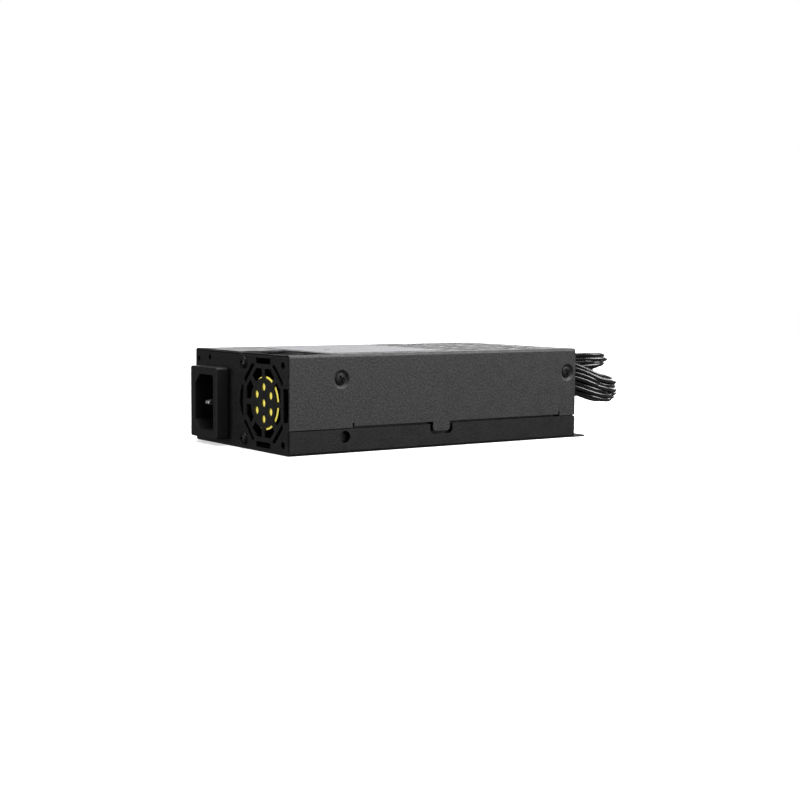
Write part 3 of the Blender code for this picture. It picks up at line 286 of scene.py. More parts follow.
def spun(profile, place, toward, steps=48):
    """A closed solid from (radius, height) points, turned about an axis through place along toward."""
    work = bmesh.new()
    rings = []
    for radius, height in profile:
        if radius < 1e-6:
            rings.append([work.verts.new((0.0, 0.0, height))])
            continue
        ring = []
        for step in range(steps):
            angle = 2 * math.pi * step / steps
            ring.append(work.verts.new((radius * math.cos(angle), radius * math.sin(angle), height)))
        rings.append(ring)
    if len(rings[0]) > 1:
        rings.append(rings[0])
    for first, second in zip(rings, rings[1:]):
        for step in range(steps):
            after = (step + 1) % steps
            corners = [first[step % len(first)], first[after % len(first)]]
            corners += [second[after % len(second)], second[step % len(second)]]
            unique = list(dict.fromkeys(corners))
            if len(unique) > 2:
                work.faces.new(unique)
    bmesh.ops.recalc_face_normals(work, faces=work.faces)
    turn = Vector(toward).to_track_quat("Z", "Y").to_matrix().to_4x4()
    bmesh.ops.transform(work, matrix=Matrix.Translation(place) @ turn, verts=work.verts)
    return object_of("spun", work)


def round_bar(radius, place, toward, length, steps=32):
    """A plain round cutter centred on place."""
    half = length / 2
    return spun([(0.0, half), (radius, half), (radius, -half), (0.0, -half)], place, toward, steps)


def bake(thing):
    """Replace an object's modifiers with the mesh that they make."""
    seen = thing.evaluated_get(bpy.context.evaluated_depsgraph_get())
    mesh = bpy.data.meshes.new_from_object(seen)
    thing.modifiers.clear()
    thing.data = mesh
    return thing


def boolean(thing, tool, operation):
    step = thing.modifiers.new("boolean", "BOOLEAN")
    step.operation = operation
    step.solver = "EXACT"
    step.object = tool
    bake(thing)
    bpy.data.objects.remove(tool)
    return thing


def cut(thing, *tools):
    for tool in tools:
        boolean(thing, tool, "DIFFERENCE")
    return thing


def unite(thing, *tools):
    for tool in tools:
        boolean(thing, tool, "UNION")
    return thing


def soften(thing, width, segments=2):
    """Round off the hard edges."""
    step = thing.modifiers.new("edges", "BEVEL")
    step.width = width
    step.segments = segments
    step.limit_method = "ANGLE"
    step.angle_limit = math.radians(32.0)
    return bake(thing)


def shade(thing):
    """Smooth shading that weighs faces by area, so flat faces look flat, and keeps hard edges hard."""
    mesh = thing.data
    work = bmesh.new()
    work.from_mesh(mesh)
    bmesh.ops.dissolve_degenerate(work, dist=0.001 * MM, edges=work.edges)
    work.to_mesh(mesh)
    work.free()
    limit = math.cos(math.radians(45.0))
    facing = [face.normal.copy() for face in mesh.polygons]
    weighed = [face.normal * face.area for face in mesh.polygons]
    touching = [[] for vertex in mesh.vertices]
    for face in mesh.polygons:
        for vertex in face.vertices:
            touching[vertex].append(face.index)
    normals = []
    for face in mesh.polygons:
        here = facing[face.index]
        for vertex in face.vertices:
            total = Vector()
            for other in touching[vertex]:
                if here.dot(facing[other]) > limit:
                    total += weighed[other]
            normals.append(total.normalized())
    mesh.shade_smooth()
    mesh.normals_split_custom_set(normals)
    return thing


def join(things):
    """One object that holds the meshes of several."""
    work = bmesh.new()
    for thing in things:
        work.from_mesh(thing.data)
        bpy.data.objects.remove(thing)
    return object_of("joined", work)


def show(name, thing, node, paint, body="chassis"):
    """Make a finished shape a piece of the model under its name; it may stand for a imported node."""
    thing.name = name
    thing.data.name = name
    thing.data.transform(TO_FRAME)
    shade(thing)
    thing.data.materials.clear()
    thing.data.materials.append(paint)
    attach(thing, body)
    if node:
        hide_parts(node)
    return thing


# ---------------------------------------------------------------- outlines

def rectangle(low, high):
    return [(low[0], low[1]), (high[0], low[1]), (high[0], high[1]), (low[0], high[1])]


def arc(centre, radius, start, stop, steps):
    points = []
    for step in range(steps + 1):
        angle = math.radians(start + (stop - start) * step / steps)
        points.append((centre[0] + radius * math.cos(angle), centre[1] + radius * math.sin(angle)))
    return points


def circle(centre, radius, sides=32):
    return arc(centre, radius, 0.0, 360.0, sides)[:-1]


def rounded(low, high, radius, steps=6):
    left, bottom = low[0] + radius, low[1] + radius
    right, top = high[0] - radius, high[1] - radius
    corners = ((180.0, left, bottom), (270.0, right, bottom), (0.0, right, top), (90.0, left, top))
    outline = []
    for start, u, v in corners:
        outline += arc((u, v), radius, start, start + 90.0, steps)
    return outline


def polar(centre, angle, out, aside):
    turn = math.radians(angle)
    return (
        centre[0] + out * math.cos(turn) - aside * math.sin(turn),
        centre[1] + out * math.sin(turn) + aside * math.cos(turn),
    )


def turned(outline, centre, angle):
    """An outline of points (out, aside), turned about a centre."""
    return [polar(centre, angle, out, aside) for out, aside in outline]


def around(centre, half, half_v=None):
    """Low and high corner of a rectangle, or of a square, about its centre."""
    tall = half if half_v is None else half_v
    return (centre[0] - half, centre[1] - tall), (centre[0] + half, centre[1] + tall)


# ---------------------------------------------------------------- materials

class Finish:
    """A Principled material with short-hand for the nodes that vary its colour, gloss and relief."""

    def __init__(self, name, metallic=0.0, sockets=()):
        self.made = bpy.data.materials.new(name)
        self.made.use_nodes = True
        self.tree = self.made.node_tree
        self.shader = self.tree.nodes["Principled BSDF"]
        self.shader.inputs["Metallic"].default_value = metallic
        for socket, value in dict(sockets).items():
            self.shader.inputs[socket].default_value = value
        self.place = self.tree.nodes.new("ShaderNodeTexCoord").outputs["Object"]

    def node(self, kind, inputs, **settings):
        """A node whose inputs are given by name or number, as a value or as another node's output."""
        made = self.tree.nodes.new("ShaderNode" + kind)
        for name, value in settings.items():
            setattr(made, name, value)
        for name, value in inputs.items():
            if isinstance(value, bpy.types.NodeSocket):
                self.tree.links.new(value, made.inputs[name])
            else:
                made.inputs[name].default_value = value
        return made

    def noise(self, cell, detail=2.0):
        """Cloudy noise with cells of about that many millimetres."""
        inputs = {"Vector": self.place, "Scale": 1 / (cell * MM), "Detail": detail}
        return self.node("TexNoise", inputs).outputs[0]

    def stretched(self, x, y, z):
        """The place in millimetres with each axis scaled, for brushed or striped looks."""
        scale = (x / MM, y / MM, z / MM)
        return self.node("Mapping", {"Vector": self.place, "Scale": scale}).outputs[0]

    def remap(self, value, low, high, start=0.35, stop=0.65):
        sizes = {"Value": value, "From Min": start, "From Max": stop, "To Min": low, "To Max": high}
        return self.node("MapRange", sizes).outputs[0]

    def math(self, operation, first, second=0.0):
        return self.node("Math", {0: first, 1: second}, operation=operation).outputs[0]

    def blend(self, share, first, second):
        """Mix two colours, each a triple or another node's colour."""
        colors = [(*c, 1.0) if isinstance(c, tuple) else c for c in (first, second)]
        return self.node("Mix", {0: share, 6: colors[0], 7: colors[1]}, data_type="RGBA").outputs[2]

    def color(self, value):
        self.tree.links.new(value, self.shader.inputs["Base Color"])

    def roughness(self, value):
        self.tree.links.new(value, self.shader.inputs["Roughness"])

    def relief(self, height, depth, strength=1.0):
        """Bump of that depth in millimetres: the last step, which gives the finished material."""
        bump = self.node("Bump", {"Height": height, "Distance": depth * MM, "Strength": strength})
        self.tree.links.new(bump.outputs[0], self.shader.inputs["Normal"])
        return self.made


def grained(name, dark, light, cell, depth, rough=(0.4, 0.55), metallic=0.0, sockets=()):
    """The common case: one noise shifts colour and relief, a broader one the gloss."""
    paint = Finish(name, metallic, sockets)
    grain = paint.noise(cell, 3.0)
    broad = paint.noise(9 * cell, 2.0)
    paint.color(paint.blend(paint.remap(grain, 0.0, 1.0), dark, light))
    paint.roughness(paint.remap(broad, *rough))
    return paint.relief(grain, depth)


def grey(value):
    return (value, value, value * 1.03)


def floor_paint():
    glow = {"Emission Color": (1.0, 1.0, 1.0, 1.0), "Emission Strength": 0.55}
    white, whiter = (0.86, 0.86, 0.86), (0.9, 0.9, 0.9)
    return grained("floor_paint", white, whiter, 40.0, 0.01, (0.6, 0.7), sockets=glow)


def powder_coat(name, dark, light, depth, gloss):
    """Textured powder coat: a fine orange-peel grain with lighter crests."""
    paint = Finish(name, sockets={"Specular IOR Level": gloss})
    grain = paint.noise(0.8, 3.0)
    fine = paint.noise(0.3, 2.0)
    height = paint.math("ADD", grain, paint.math("MULTIPLY", fine, 0.4))
    crest = paint.remap(height, 0.0, 1.0, 0.58, 0.86)
    paint.color(paint.blend(crest, grey(dark), grey(light)))
    paint.roughness(paint.remap(paint.noise(5.0), 0.42, 0.56))
    return paint.relief(height, depth)


COVER_PAINT = powder_coat("cover_powder_coat", 0.015, 0.045, 0.09, 0.42)
TRAY_PAINT = powder_coat("tray_powder_coat", 0.005, 0.018, 0.04, 0.28)
WIRE_SKIN = grained("wire_insulation", grey(0.004), grey(0.008), 1.2, 0.005, (0.18, 0.26))
PLUG_PLASTIC = grained("plug_nylon", grey(0.012), grey(0.022), 0.5, 0.02, (0.36, 0.5))
INLET_PLASTIC = grained(
    "inlet_plastic", grey(0.007), grey(0.012), 0.35, 0.02, (0.45, 0.58), sockets={"Specular IOR Level": 0.3}
)
FAN_PLASTIC = grained(
    "fan_plastic", grey(0.006), grey(0.01), 0.5, 0.03, (0.85, 0.95), sockets={"Specular IOR Level": 0.05}
)
ROTOR_PLASTIC = grained("rotor_plastic", grey(0.008), grey(0.015), 0.6, 0.01, (0.3, 0.42))
BUSHING_PLASTIC = grained("bushing_plastic", grey(0.012), grey(0.02), 0.5, 0.02, (0.42, 0.55))
BLACK_OXIDE = grained("black_oxide", grey(0.012), grey(0.03), 0.4, 0.02, (0.3, 0.5), 0.75)
NICKEL = grained("nickel_plate", grey(0.86), grey(0.95), 0.6, 0.005, (0.36, 0.46), 1.0)
TIN_PLATE = grained("tin_plate", grey(0.7), grey(0.85), 0.6, 0.005, (0.18, 0.3), 1.0)


# ---------------------------------------------------------------- wires and cords

def smooth_route(points, spacing):
    """Evenly spaced points on a smooth curve through the given ones."""
    knots = [Vector(point) for point in points]
    knots = [2 * knots[0] - knots[1]] + knots + [2 * knots[-1] - knots[-2]]
    fine = []
    steps = 24
    for a, b, c, d in zip(knots, knots[1:], knots[2:], knots[3:]):
        for step in range(steps):
            t = step / steps
            course = 2 * b + (c - a) * t + (2 * a - 5 * b + 4 * c - d) * t * t
            fine.append((course + (3 * b - a - 3 * c + d) * t ** 3) / 2)
    fine.append(knots[-2])
    reach = [0.0]
    for first, second in zip(fine, fine[1:]):
        reach.append(reach[-1] + (second - first).length)
    count = max(2, round(reach[-1] / spacing))
    route = []
    index = 0
    for number in range(count + 1):
        goal = reach[-1] * number / count
        while index < len(reach) - 2 and reach[index + 1] < goal:
            index += 1
        share = (goal - reach[index]) / (reach[index + 1] - reach[index])
        route.append(fine[index].lerp(fine[index + 1], share))
    return route


def tubes(lines, diameter, sides=10):
    """Round tubes along lines of points, with flat ends, as one object."""
    work = bmesh.new()
    radius = diameter / 2
    for line in lines:
        side = None
        rings = []
        for number, point in enumerate(line):
            ahead = line[min(number + 1, len(line) - 1)] - line[max(number - 1, 0)]
            ahead.normalize()
            if side is None:
                side = ahead.orthogonal()
            side = (side - ahead * side.dot(ahead)).normalized()
            up = ahead.cross(side)
            ring = []
            for step in range(sides):
                angle = 2 * math.pi * step / sides
                offset = math.cos(angle) * side + math.sin(angle) * up
                ring.append(work.verts.new(point + radius * offset))
            rings.append(ring)
        for first, second in zip(rings, rings[1:]):
            sew(work, first, second)
        work.faces.new(rings[0][::-1])
        work.faces.new(rings[-1])
    return object_of("tubes", work)


def rows(counts, pitch, row_pitch, lean=0.0, lift=0.0):
    """Places (aside, up) of wires in rows, from the lowest row up, about their middle or lifted from it."""
    places = []
    for row, count in enumerate(counts):
        up = (row - (len(counts) - 1) / 2) * row_pitch + lift
        shift = lean if row % 2 else -lean
        places += [((column - (count - 1) / 2) * pitch + shift, up) for column in range(count)]
    return places


def ease(value):
    value = min(1.0, max(0.0, value))
    return value * value * (3 - 2 * value)


def sides_of(route):
    """The level direction and the upward one square to a route at each of its points."""
    pairs = []
    for number in range(len(route)):
        ahead = route[min(number + 1, len(route) - 1)] - route[max(number - 1, 0)]
        side = ahead.cross(Vector((0.0, 0.0, 1.0))).normalized()
        pairs.append((side, side.cross(ahead).normalized()))
    return pairs


def wires_along(route, leaving, lying, spacing, seed):
    """Lines of a cable's single wires: packed one way where they leave and another where they lie."""
    chance = random.Random(seed)
    pairs = sides_of(route)
    lines = []
    for (aside, up), (aside_later, up_later) in zip(leaving, lying):
        phase = chance.uniform(0.0, 2 * math.pi)
        wave = chance.uniform(*WAVE_LENGTHS)
        line = []
        for number, (point, (side, rise)) in enumerate(zip(route, pairs)):
            gone = number * spacing
            share = ease((gone - REPACK_START) / REPACK_LENGTH)
            wander = WANDER * ease(gone / WANDER_START) * math.sin(phase + 2 * math.pi * gone / wave)
            across_now = aside + (aside_later - aside) * share + wander
            up_now = up + (up_later - up) * share + 0.4 * wander
            line.append(point + side * across_now + rise * up_now)
        lines.append(line)
    return lines


def spread(lines, ends, reach):
    """The wires' last stretch, from where their lines stop to their places at the plug's back."""
    steps = 14
    made = []
    for line, end in zip(lines, ends):
        start = line[-1]
        heading = (line[-1] - line[-3]).normalized()
        course = []
        for step in range(steps + 1):
            t = step / steps
            straight = start + heading * reach * 0.4 * t
            arriving = Vector(end) + Vector((reach * 0.45 * (1 - t), 0.0, 0.0))
            course.append(straight.lerp(arriving, ease(t)))
        made.append(course)
    return made


# route, bundle diameter, wires where they leave, wires where they lie, length of the fan-out at the plug
Cord = namedtuple("Cord", "route diameter leaving lying fan_out")
EIGHT_LYING = rows([3, 3, 2], WIRE, 1.82, 0.3, -0.6)
CORDS = {
    "main_board": Cord(
        ATX_ROUTE, 11.6, rows([3, 4, 4, 4, 4, 3, 2], 2.15, 2.1, 0.3, 1.4),
        rows([4, 5, 5, 4, 4, 2], WIRE, 1.82, 0.0, -0.3), 25.0,
    ),
    "processor": Cord(CPU_ROUTE, 6.8, rows([2, 2, 2, 2], 2.15, 1.95, 0.2, -1.2), EIGHT_LYING, 14.0),
    "graphics": Cord(PCIE_ROUTE, 6.8, rows([3, 2, 3], 2.15, 1.85, 0.0, -0.8), EIGHT_LYING, 14.0),
    "drive": Cord(
        SATA_ROUTE, 5.6, rows([3, 2], 2.15, 1.9, 0.0, 0.6), rows([2, 3], WIRE, 1.9, 0.0, 0.1), 13.0,
    ),
}


def plug_cells(low, high, columns):
    """Middles (y, z) of a plug's cells, two in each column."""
    middle = (low.y + high.y) / 2
    places = []
    for number in range(2 * columns):
        column, row = divmod(number, 2)
        y = middle + (column - (columns - 1) / 2) * CELL_PITCH
        places.append((y, low.z + 4.8 + (row - 0.5) * CELL_PITCH))
    return places


def plug_ends(name, count):
    """Where the wires enter a plug: at its cells, or one above the other in the drive plug."""
    low, high = span("plug_" + name)
    if name == "drive":
        middle = (low + high) / 2
        return [(high.x, middle.y, middle.z + (row - (count - 1) / 2) * 4.0) for row in range(count)]
    return [(high.x, y, z) for y, z in plug_cells(low, high, count // 2)]


def output_cords():
    """Each output cable as its separate wires along its route, with its fan-out and its plug."""
    for number, (name, cord) in enumerate(CORDS.items()):
        whole = smooth_route(cord.route, SPACING)
        route = whole[:len(whole) - round(cord.fan_out / SPACING)]
        lines = wires_along(route, cord.leaving, cord.lying, SPACING, number)
        wires = show(f"wires_{name}", tubes(lines, WIRE), f"cable_{name}", WIRE_SKIN)
        ordered = sorted(lines, key=lambda line: line[-1].z if name == "drive" else line[-1].y)
        ends = spread(ordered, plug_ends(name, len(lines)), cord.fan_out)
        last = show(f"wire_ends_{name}", tubes(ends, WIRE), None, WIRE_SKIN)
        plug = connector(name)


# ---------------------------------------------------------------- connectors

def contacts(name, places, x, reach):
    """Small square sockets of folded tin-plated sheet inside a connector's cells."""
    shells = []
    for y, z in places:
        shell = soften(box((x, y - 0.95, z - 0.95), (x + reach, y + 0.95, z + 0.95)), 0.15)
        shells.append(cut(shell, box((x - 1.0, y - 0.65, z - 0.65), (x + reach - 1.0, y + 0.65, z + 0.65))))
    return show(f"contacts_{name}", join(shells), None, TIN_PLATE)


def latch(low_x, high_x, top, middle, reach):
    """Springy lever on a foot, with a hook at the front and a thumb pad at the rear."""
    foot = low_x + 0.45 * (high_x - low_x)
    outline = [(low_x, top + 0.3), (low_x + 0.9, top + 0.3), (low_x + 1.5, top + 0.7), (foot, top + 0.7)]
    outline += [(foot, top - 0.4), (foot + 2.4, top - 0.4), (foot + 2.4, top + 0.7), (high_x, top + 0.8)]
    outline += [(high_x, top + 1.6), (high_x - 2.2, top + 1.5), (foot, top + 1.25)]
    outline += [(low_x + 1.2, top + 1.2), (low_x, top + 0.7)]
    return prism(outline, middle - reach, middle + reach, along)


def connector(name):
    """Crimp housing with one square tube for each wire, every other one with cut corners, as a key."""
    if name == "drive":
        return drive_connector()
    low, high = span("plug_" + name)
    places = plug_cells(low, high, round((high.y - low.y - 1.2) / CELL_PITCH))
    body_top = low.z + 9.6
    wall = low.x + 9.5
    cells = []
    for number, place in enumerate(places):
        keyed = sum(divmod(number, 2)) % 2
        cells.append(rounded(*around(place, 1.9), 1.1 if keyed else 0.25, 2))
    cavities = [rectangle(*around(place, 1.3)) for place in places]
    mouths = [circle(place, 1.35, 16) for place in places]
    body = soften(box((wall, low.y, low.z), (high.x, high.y, body_top)), 0.3)
    cut(body, prisms(mouths, high.x - 3.0, high.x + 1.0, across))
    cell_tubes = prisms(cells, low.x, wall + 0.3, across)
    soften(cut(cell_tubes, prisms(cavities, low.x - 1.0, wall - 0.5, across)), 0.12)
    half = (high.y - low.y) / 2
    lever = latch(low.x + 3.0, high.x - 5.0, body_top, (low.y + high.y) / 2, min(3.0, half - 1.0))
    web = box((low.x + 5.0, low.y + 0.9, low.z + 4.5), (wall + 0.2, high.y - 0.9, low.z + 5.1))
    whole = join([body, cell_tubes, soften(lever, 0.15), web])
    housing = show(f"connector_{name}", whole, f"plug_{name}", PLUG_PLASTIC)
    return [housing, contacts(name, places, low.x + 1.2, 8.0)]


def drive_connector():
    """Flat drive connector on its edge: L-shaped slot with a row of contacts, ribbed cap over the wires."""
    low, high = span("plug_drive")
    middle = (low.y + high.y) / 2
    body = soften(box((low.x, low.y, low.z), (high.x - 4.5, high.y, high.z)), 0.35)
    slot = [(middle - 0.9, 2.2), (middle + 1.6, 2.2), (middle + 1.6, 3.6), (middle + 0.5, 3.6)]
    slot += [(middle + 0.5, 21.4), (middle - 0.9, 21.4)]
    cut(body, prism(slot, low.x - 1.0, low.x + 6.0, across))
    grooves = []
    for number in range(4):
        x = low.x + 3.0 + 1.6 * number
        for y in (low.y, high.y):
            grooves.append(((x, y - 0.25, low.z + 4.0), (x + 0.7, y + 0.25, high.z - 4.0)))
    cut(body, boxes(grooves))
    cap = soften(box((high.x - 4.8, low.y + 0.35, low.z + 0.8), (high.x, high.y - 0.35, high.z - 0.8)), 0.5)
    mouths = [circle((middle, (low.z + high.z) / 2 + (number - 2) * 4.0), 1.3, 16) for number in range(5)]
    cut(cap, prisms(mouths, high.x - 2.5, high.x + 1.0, across))
    housing = show("connector_drive", join([body, cap]), "plug_drive", PLUG_PLASTIC)
    blades = []
    for number in range(15):
        z = 4.3 + number * 1.15
        blades.append(((low.x + 0.8, middle - 0.85, z), (low.x + 5.5, middle - 0.65, z + 0.7)))
    return [housing, show("contacts_drive", boxes(blades), None, TIN_PLATE)]


# ---------------------------------------------------------------- sheet-metal case

def channel(top, low_y, high_y, bottom):
    """Section (y, z) of a sheet folded up along both long sides, with its round bends."""
    inner = BEND - SHEET
    steps = 7
    section = [(low_y, top)]
    section += arc((low_y + BEND, bottom + BEND), BEND, 180.0, 270.0, steps)
    section += arc((high_y - BEND, bottom + BEND), BEND, 270.0, 360.0, steps)
    section += [(high_y, top), (high_y - SHEET, top)]
    section += arc((high_y - BEND, bottom + BEND), inner, 360.0, 270.0, steps)
    section += arc((low_y + BEND, bottom + BEND), inner, 270.0, 180.0, steps)
    section += [(low_y + SHEET, top)]
    return section


def fan_grille():
    """Openings of the grille: seven round holes in a disc, eight wedges round it and slots outside."""
    centre = (FAN_MIDDLE.y, FAN_MIDDLE.z)
    plate_radius = 10.3
    octagon = 14.1
    outer = 16.0
    half = 1.15
    hole, ring = 1.7, 6.6
    loops = [circle(centre, hole, 24)]
    for step in range(6):
        loops.append(circle(polar(centre, 30.0 + 60.0 * step, ring, 0.0), hole, 24))
    corner = octagon / math.cos(math.radians(22.5))
    edge_angle = math.degrees(math.asin(half / plate_radius))
    for step in range(8):
        angle = 45.0 * step
        wedge = [polar(centre, angle, octagon, half), polar(centre, angle + 22.5, corner, 0.0)]
        wedge.append(polar(centre, angle + 45.0, octagon, -half))
        wedge += arc(centre, plate_radius, angle + 45.0 - edge_angle, angle + edge_angle, 10)
        loops.append(wedge)
    oblique = ((outer, -5.7), (18.0, -4.9), (18.0, 4.9), (outer, 5.7))
    slots = [(angle, oblique) for angle in (45.0, 135.0, 225.0, 315.0)]
    slots += [(angle, ((outer, -5.9), (18.4, -5.9), (18.4, 5.9), (outer, 5.9))) for angle in (90.0, 270.0)]
    bulge = ((16.8, -6.5), (17.9, -6.5), (19.4, -3.6), (20.0, 0.0), (19.4, 3.6), (17.9, 6.5), (16.8, 6.5))
    slots.append((0.0, bulge))
    return loops + [turned(slot, centre, angle) for angle, slot in slots]


def panel_outline():
    """End panel between the folded sides, from its lower corners up."""
    return rectangle((TONGUE_Y, PANEL_BOTTOM), (WIDTH - TONGUE_Y, PANEL_TOP))


def front_panel():
    """Panel with the fan grille, the inlet opening and the holes for the screws."""
    centre_y, centre_z = FAN_MIDDLE.y, FAN_MIDDLE.z
    notch_half, notch_y = 6.8, 5.0
    above, below = centre_z + notch_half, centre_z - notch_half
    outline = panel_outline()
    outline += [(TONGUE_Y, above), (notch_y, above), (notch_y, below)]
    outline += [(TONGUE_Y, below)]
    holes = fan_grille()
    half = FAN_PITCH / 2
    for side in (-half, half):
        holes.append(circle((centre_y - half, centre_z + side), 1.5, 24))
        holes.append(circle((centre_y + half, centre_z + side), 1.8, 24))
    holes += [circle((78.6, 36.0), 1.2, 20), circle((68.3, 36.9), 1.2, 20)]
    low, high = span("inlet_housing")
    holes.append(rectangle((low.y + 1.6, 3.6), (high.y - 1.6, 31.7)))
    panel = prism(outline, 0.0, SHEET, across)
    return cut(panel, prisms(holes, -2.0, 3.0, across))


def rear_panel():
    """Panel with the cable outlet and a row of upright vent slots."""
    low, high = span("cable_bushing")
    brim = 0.5
    holes = [rounded((low.y + brim, low.z + brim), (high.y - brim, high.z - brim), 5.1)]
    slot_bottom, slot_top, radius = 10.1, 31.9, 1.1
    for step in range(8):
        y = 46.5 + 4.0 * step
        upper = arc((y, slot_top), radius, 0.0, 180.0, 8)
        holes.append(upper + arc((y, slot_bottom), radius, 180.0, 360.0, 8))
    panel = prism(panel_outline(), LENGTH - SHEET, LENGTH, across)
    return cut(panel, prisms(holes, LENGTH - 3.0, LENGTH + 3.0, across))


def fixing_ear():
    """The ear that stands out of the bottom at the rear, with its screw hole."""
    tip = span("base_tray")[1].x
    outline = [(LENGTH - 2.0, 0.8), (LENGTH, 0.2)] + arc((tip - 1.5, 1.7), 1.5, 270.0, 360.0, 6)
    outline += arc((tip - 2.5, 9.0), 2.5, 0.0, 60.0, 5) + [(LENGTH - 2.0, 14.0)]
    ear = prism(outline, 0.0, SHEET)
    return cut(ear, prism(circle((LENGTH + 2.7, 6.2), 1.7, 24), -1.0, 2.0))


def tongue(low_x, high_x, far):
    """Flap behind the cover's side that takes a cover screw."""
    y = WIDTH - TONGUE_Y - SHEET if far else TONGUE_Y
    bottom, top, radius = 5.0, 33.5, 1.5
    outline = [(low_x, bottom), (high_x, bottom)] + arc((high_x - radius, top), radius, 0.0, 90.0, 4)
    outline += arc((low_x + radius, top), radius, 90.0, 180.0, 4)
    return prism(outline, y, y + SHEET, along)


def tray():
    """Bottom shell: folded channel with end panels, screw tongues and the rear ear."""
    shell = prism(channel(STRIP_TOP, 0.0, WIDTH, 0.0), 0.1, LENGTH - 0.1, across)
    first, last = NOTCH_X
    notch = [(first, STRIP_TOP + 1.0)] + arc((first + 2.0, 7.5), 2.0, 180.0, 270.0, 6)
    notch += arc((last - 2.0, 7.5), 2.0, 270.0, 360.0, 6) + [(last, STRIP_TOP + 1.0)]
    cut(shell, box((SHEET + 0.3, TONGUE_Y, -1.0), (FAN_WELL[0], FAN_WELL[2] - 0.2, 2.0)))
    for y in (0.0, WIDTH):
        cut(shell, prism(notch, y - 3.0, y + 3.0, along))
        cut(shell, prism(circle(STRIP_HOLE, STRIP_HOLE_RADIUS, 32), y - 0.95, y + 0.95, along))
    parts = [soften(part, EDGE) for part in (shell, front_panel(), rear_panel(), fixing_ear())]
    for far in (False, True):
        for low_x, high_x in ((FAN_WELL[0] + 0.3, 29.6), (141.0, LENGTH - 0.4)):
            flap = tongue(low_x, high_x, far)
            face = WIDTH if far else 0.0
            for x, z in COVER_SCREWS:
                if low_x < x < high_x:
                    cut(flap, round_bar(1.75, (x, face, z), AXIS_Y, 8.0, 24))
            place = (STRIP_HOLE[0], face, STRIP_HOLE[1])
            cut(flap, round_bar(STRIP_HOLE_RADIUS, place, AXIS_Y, 8.0, 32))
            parts.append(soften(flap, EDGE))
    return show("tray_shell", join(parts), "base_tray", TRAY_PAINT)


def vent_slots():
    """Rows of round-ended slots over the rear half of the cover."""
    length, radius = 12.0, 1.5
    loops = []
    for row in range(7):
        for column in range(3):
            x = 90.0 + 18.0 * column
            y = 11.5 + 10.0 * row
            loops.append(arc((x, y), radius, 90.0, 270.0, 8) + arc((x + length, y), radius, -90.0, 90.0, 8))
    return prisms(loops, HEIGHT - 4.0, HEIGHT + 3.0)


def dimple(x, z, far):
    """Pressed cone round a cover screw: a smooth lip at the face, running in to the screw's seat."""
    face = WIDTH if far else 0.0
    profile = [(3.95, 0.0), (3.8, -0.03), (3.6, -0.14), (3.35, -0.36), (2.9, -0.82), (2.75, -0.92)]
    profile += [(1.9, -0.94), (1.9, -1.04), (2.9, -1.04), (3.95, -0.75)]
    return spun(profile, (x, face, z), (0, 1 if far else -1, 0), 40)


def cover_edge():
    """Outline (x, z) of what is open below the cover's sides, with a step near each end and the tab."""
    lower, middle = COVER_BOTTOM, COVER_MIDDLE_BOTTOM
    slit_top, tab_bottom = middle + 1.4, 8.4
    (first, last), (tab_low, tab_high) = STEP_X, TAB_X
    below = [(-1.0, 0.0), (LENGTH + 1.0, 0.0), (LENGTH + 1.0, lower), (last + SLIT, lower)]
    below += [(last + SLIT, slit_top), (last, slit_top), (last, middle), (tab_high, middle)]
    below += [(tab_high, tab_bottom)] + arc((tab_high - TAB_RADIUS, tab_bottom), TAB_RADIUS, 360.0, 270.0, 5)
    below += arc((tab_low + TAB_RADIUS, tab_bottom), TAB_RADIUS, 270.0, 180.0, 5) + [(tab_low, middle)]
    below += [(first, middle), (first, slit_top), (first - SLIT, slit_top), (first - SLIT, lower)]
    return below + [(-1.0, lower)]


def cover():
    """Top shell: folded channel with the fan well, the vents, side tabs and countersunk screw seats."""
    section = [(y, HEIGHT - z) for y, z in channel(HEIGHT - 5.0, 0.0, WIDTH, 0.0)]
    shell = prism(section, 0.0, LENGTH, across)
    cut(shell, prism(cover_edge(), -5.0, WIDTH + 5.0, along))
    well = rounded((-5.0, FAN_WELL[1]), (FAN_WELL[0], FAN_WELL[2]), 1.0, 4)
    cut(shell, prism(well, 36.0, 45.0), vent_slots())
    cut(shell, prism(circle(LABEL_HOLE, 0.8, 20), HEIGHT - 3.0, HEIGHT + 3.0))
    seats = []
    for x, z in COVER_SCREWS:
        cut(shell, *(round_bar(3.9, (x, face, z), AXIS_Y, 4.0, 40) for face in (0.0, WIDTH)))
        seats += [dimple(x, z, False), dimple(x, z, True)]
    return show("cover_shell", join([soften(shell, EDGE), *seats]), "top_cover", COVER_PAINT)


# ---------------------------------------------------------------- screws

def cross_recess(reach, blade, depth, place, toward):
    """Tapered cutter for a cross slot: four arms that narrow towards the bottom."""
    arm = ((reach, -0.75 * blade), (reach, 0.75 * blade), (1.25 * blade, 1.25 * blade))
    outline = []
    for angle in (0.0, 90.0, 180.0, 270.0):
        outline += turned(arm, (0.0, 0.0), angle)
    tool = prism(outline, -depth, 0.4, level, 1.5)
    turn = Vector(toward).to_track_quat("Z", "Y").to_matrix().to_4x4()
    tool.data.transform(Matrix.Translation(place) @ turn @ Matrix.Rotation(math.radians(20.0), 4, "Z"))
    return tool


def screw(profile, place, toward, reach, depth, rise=0.0, steps=48):
    """Turned screw with a cross recess, which starts at a rise above its place."""
    top = Vector(place) + rise * Vector(toward)
    return cut(spun(profile, place, toward, steps), cross_recess(reach, 0.3, depth, top, toward))


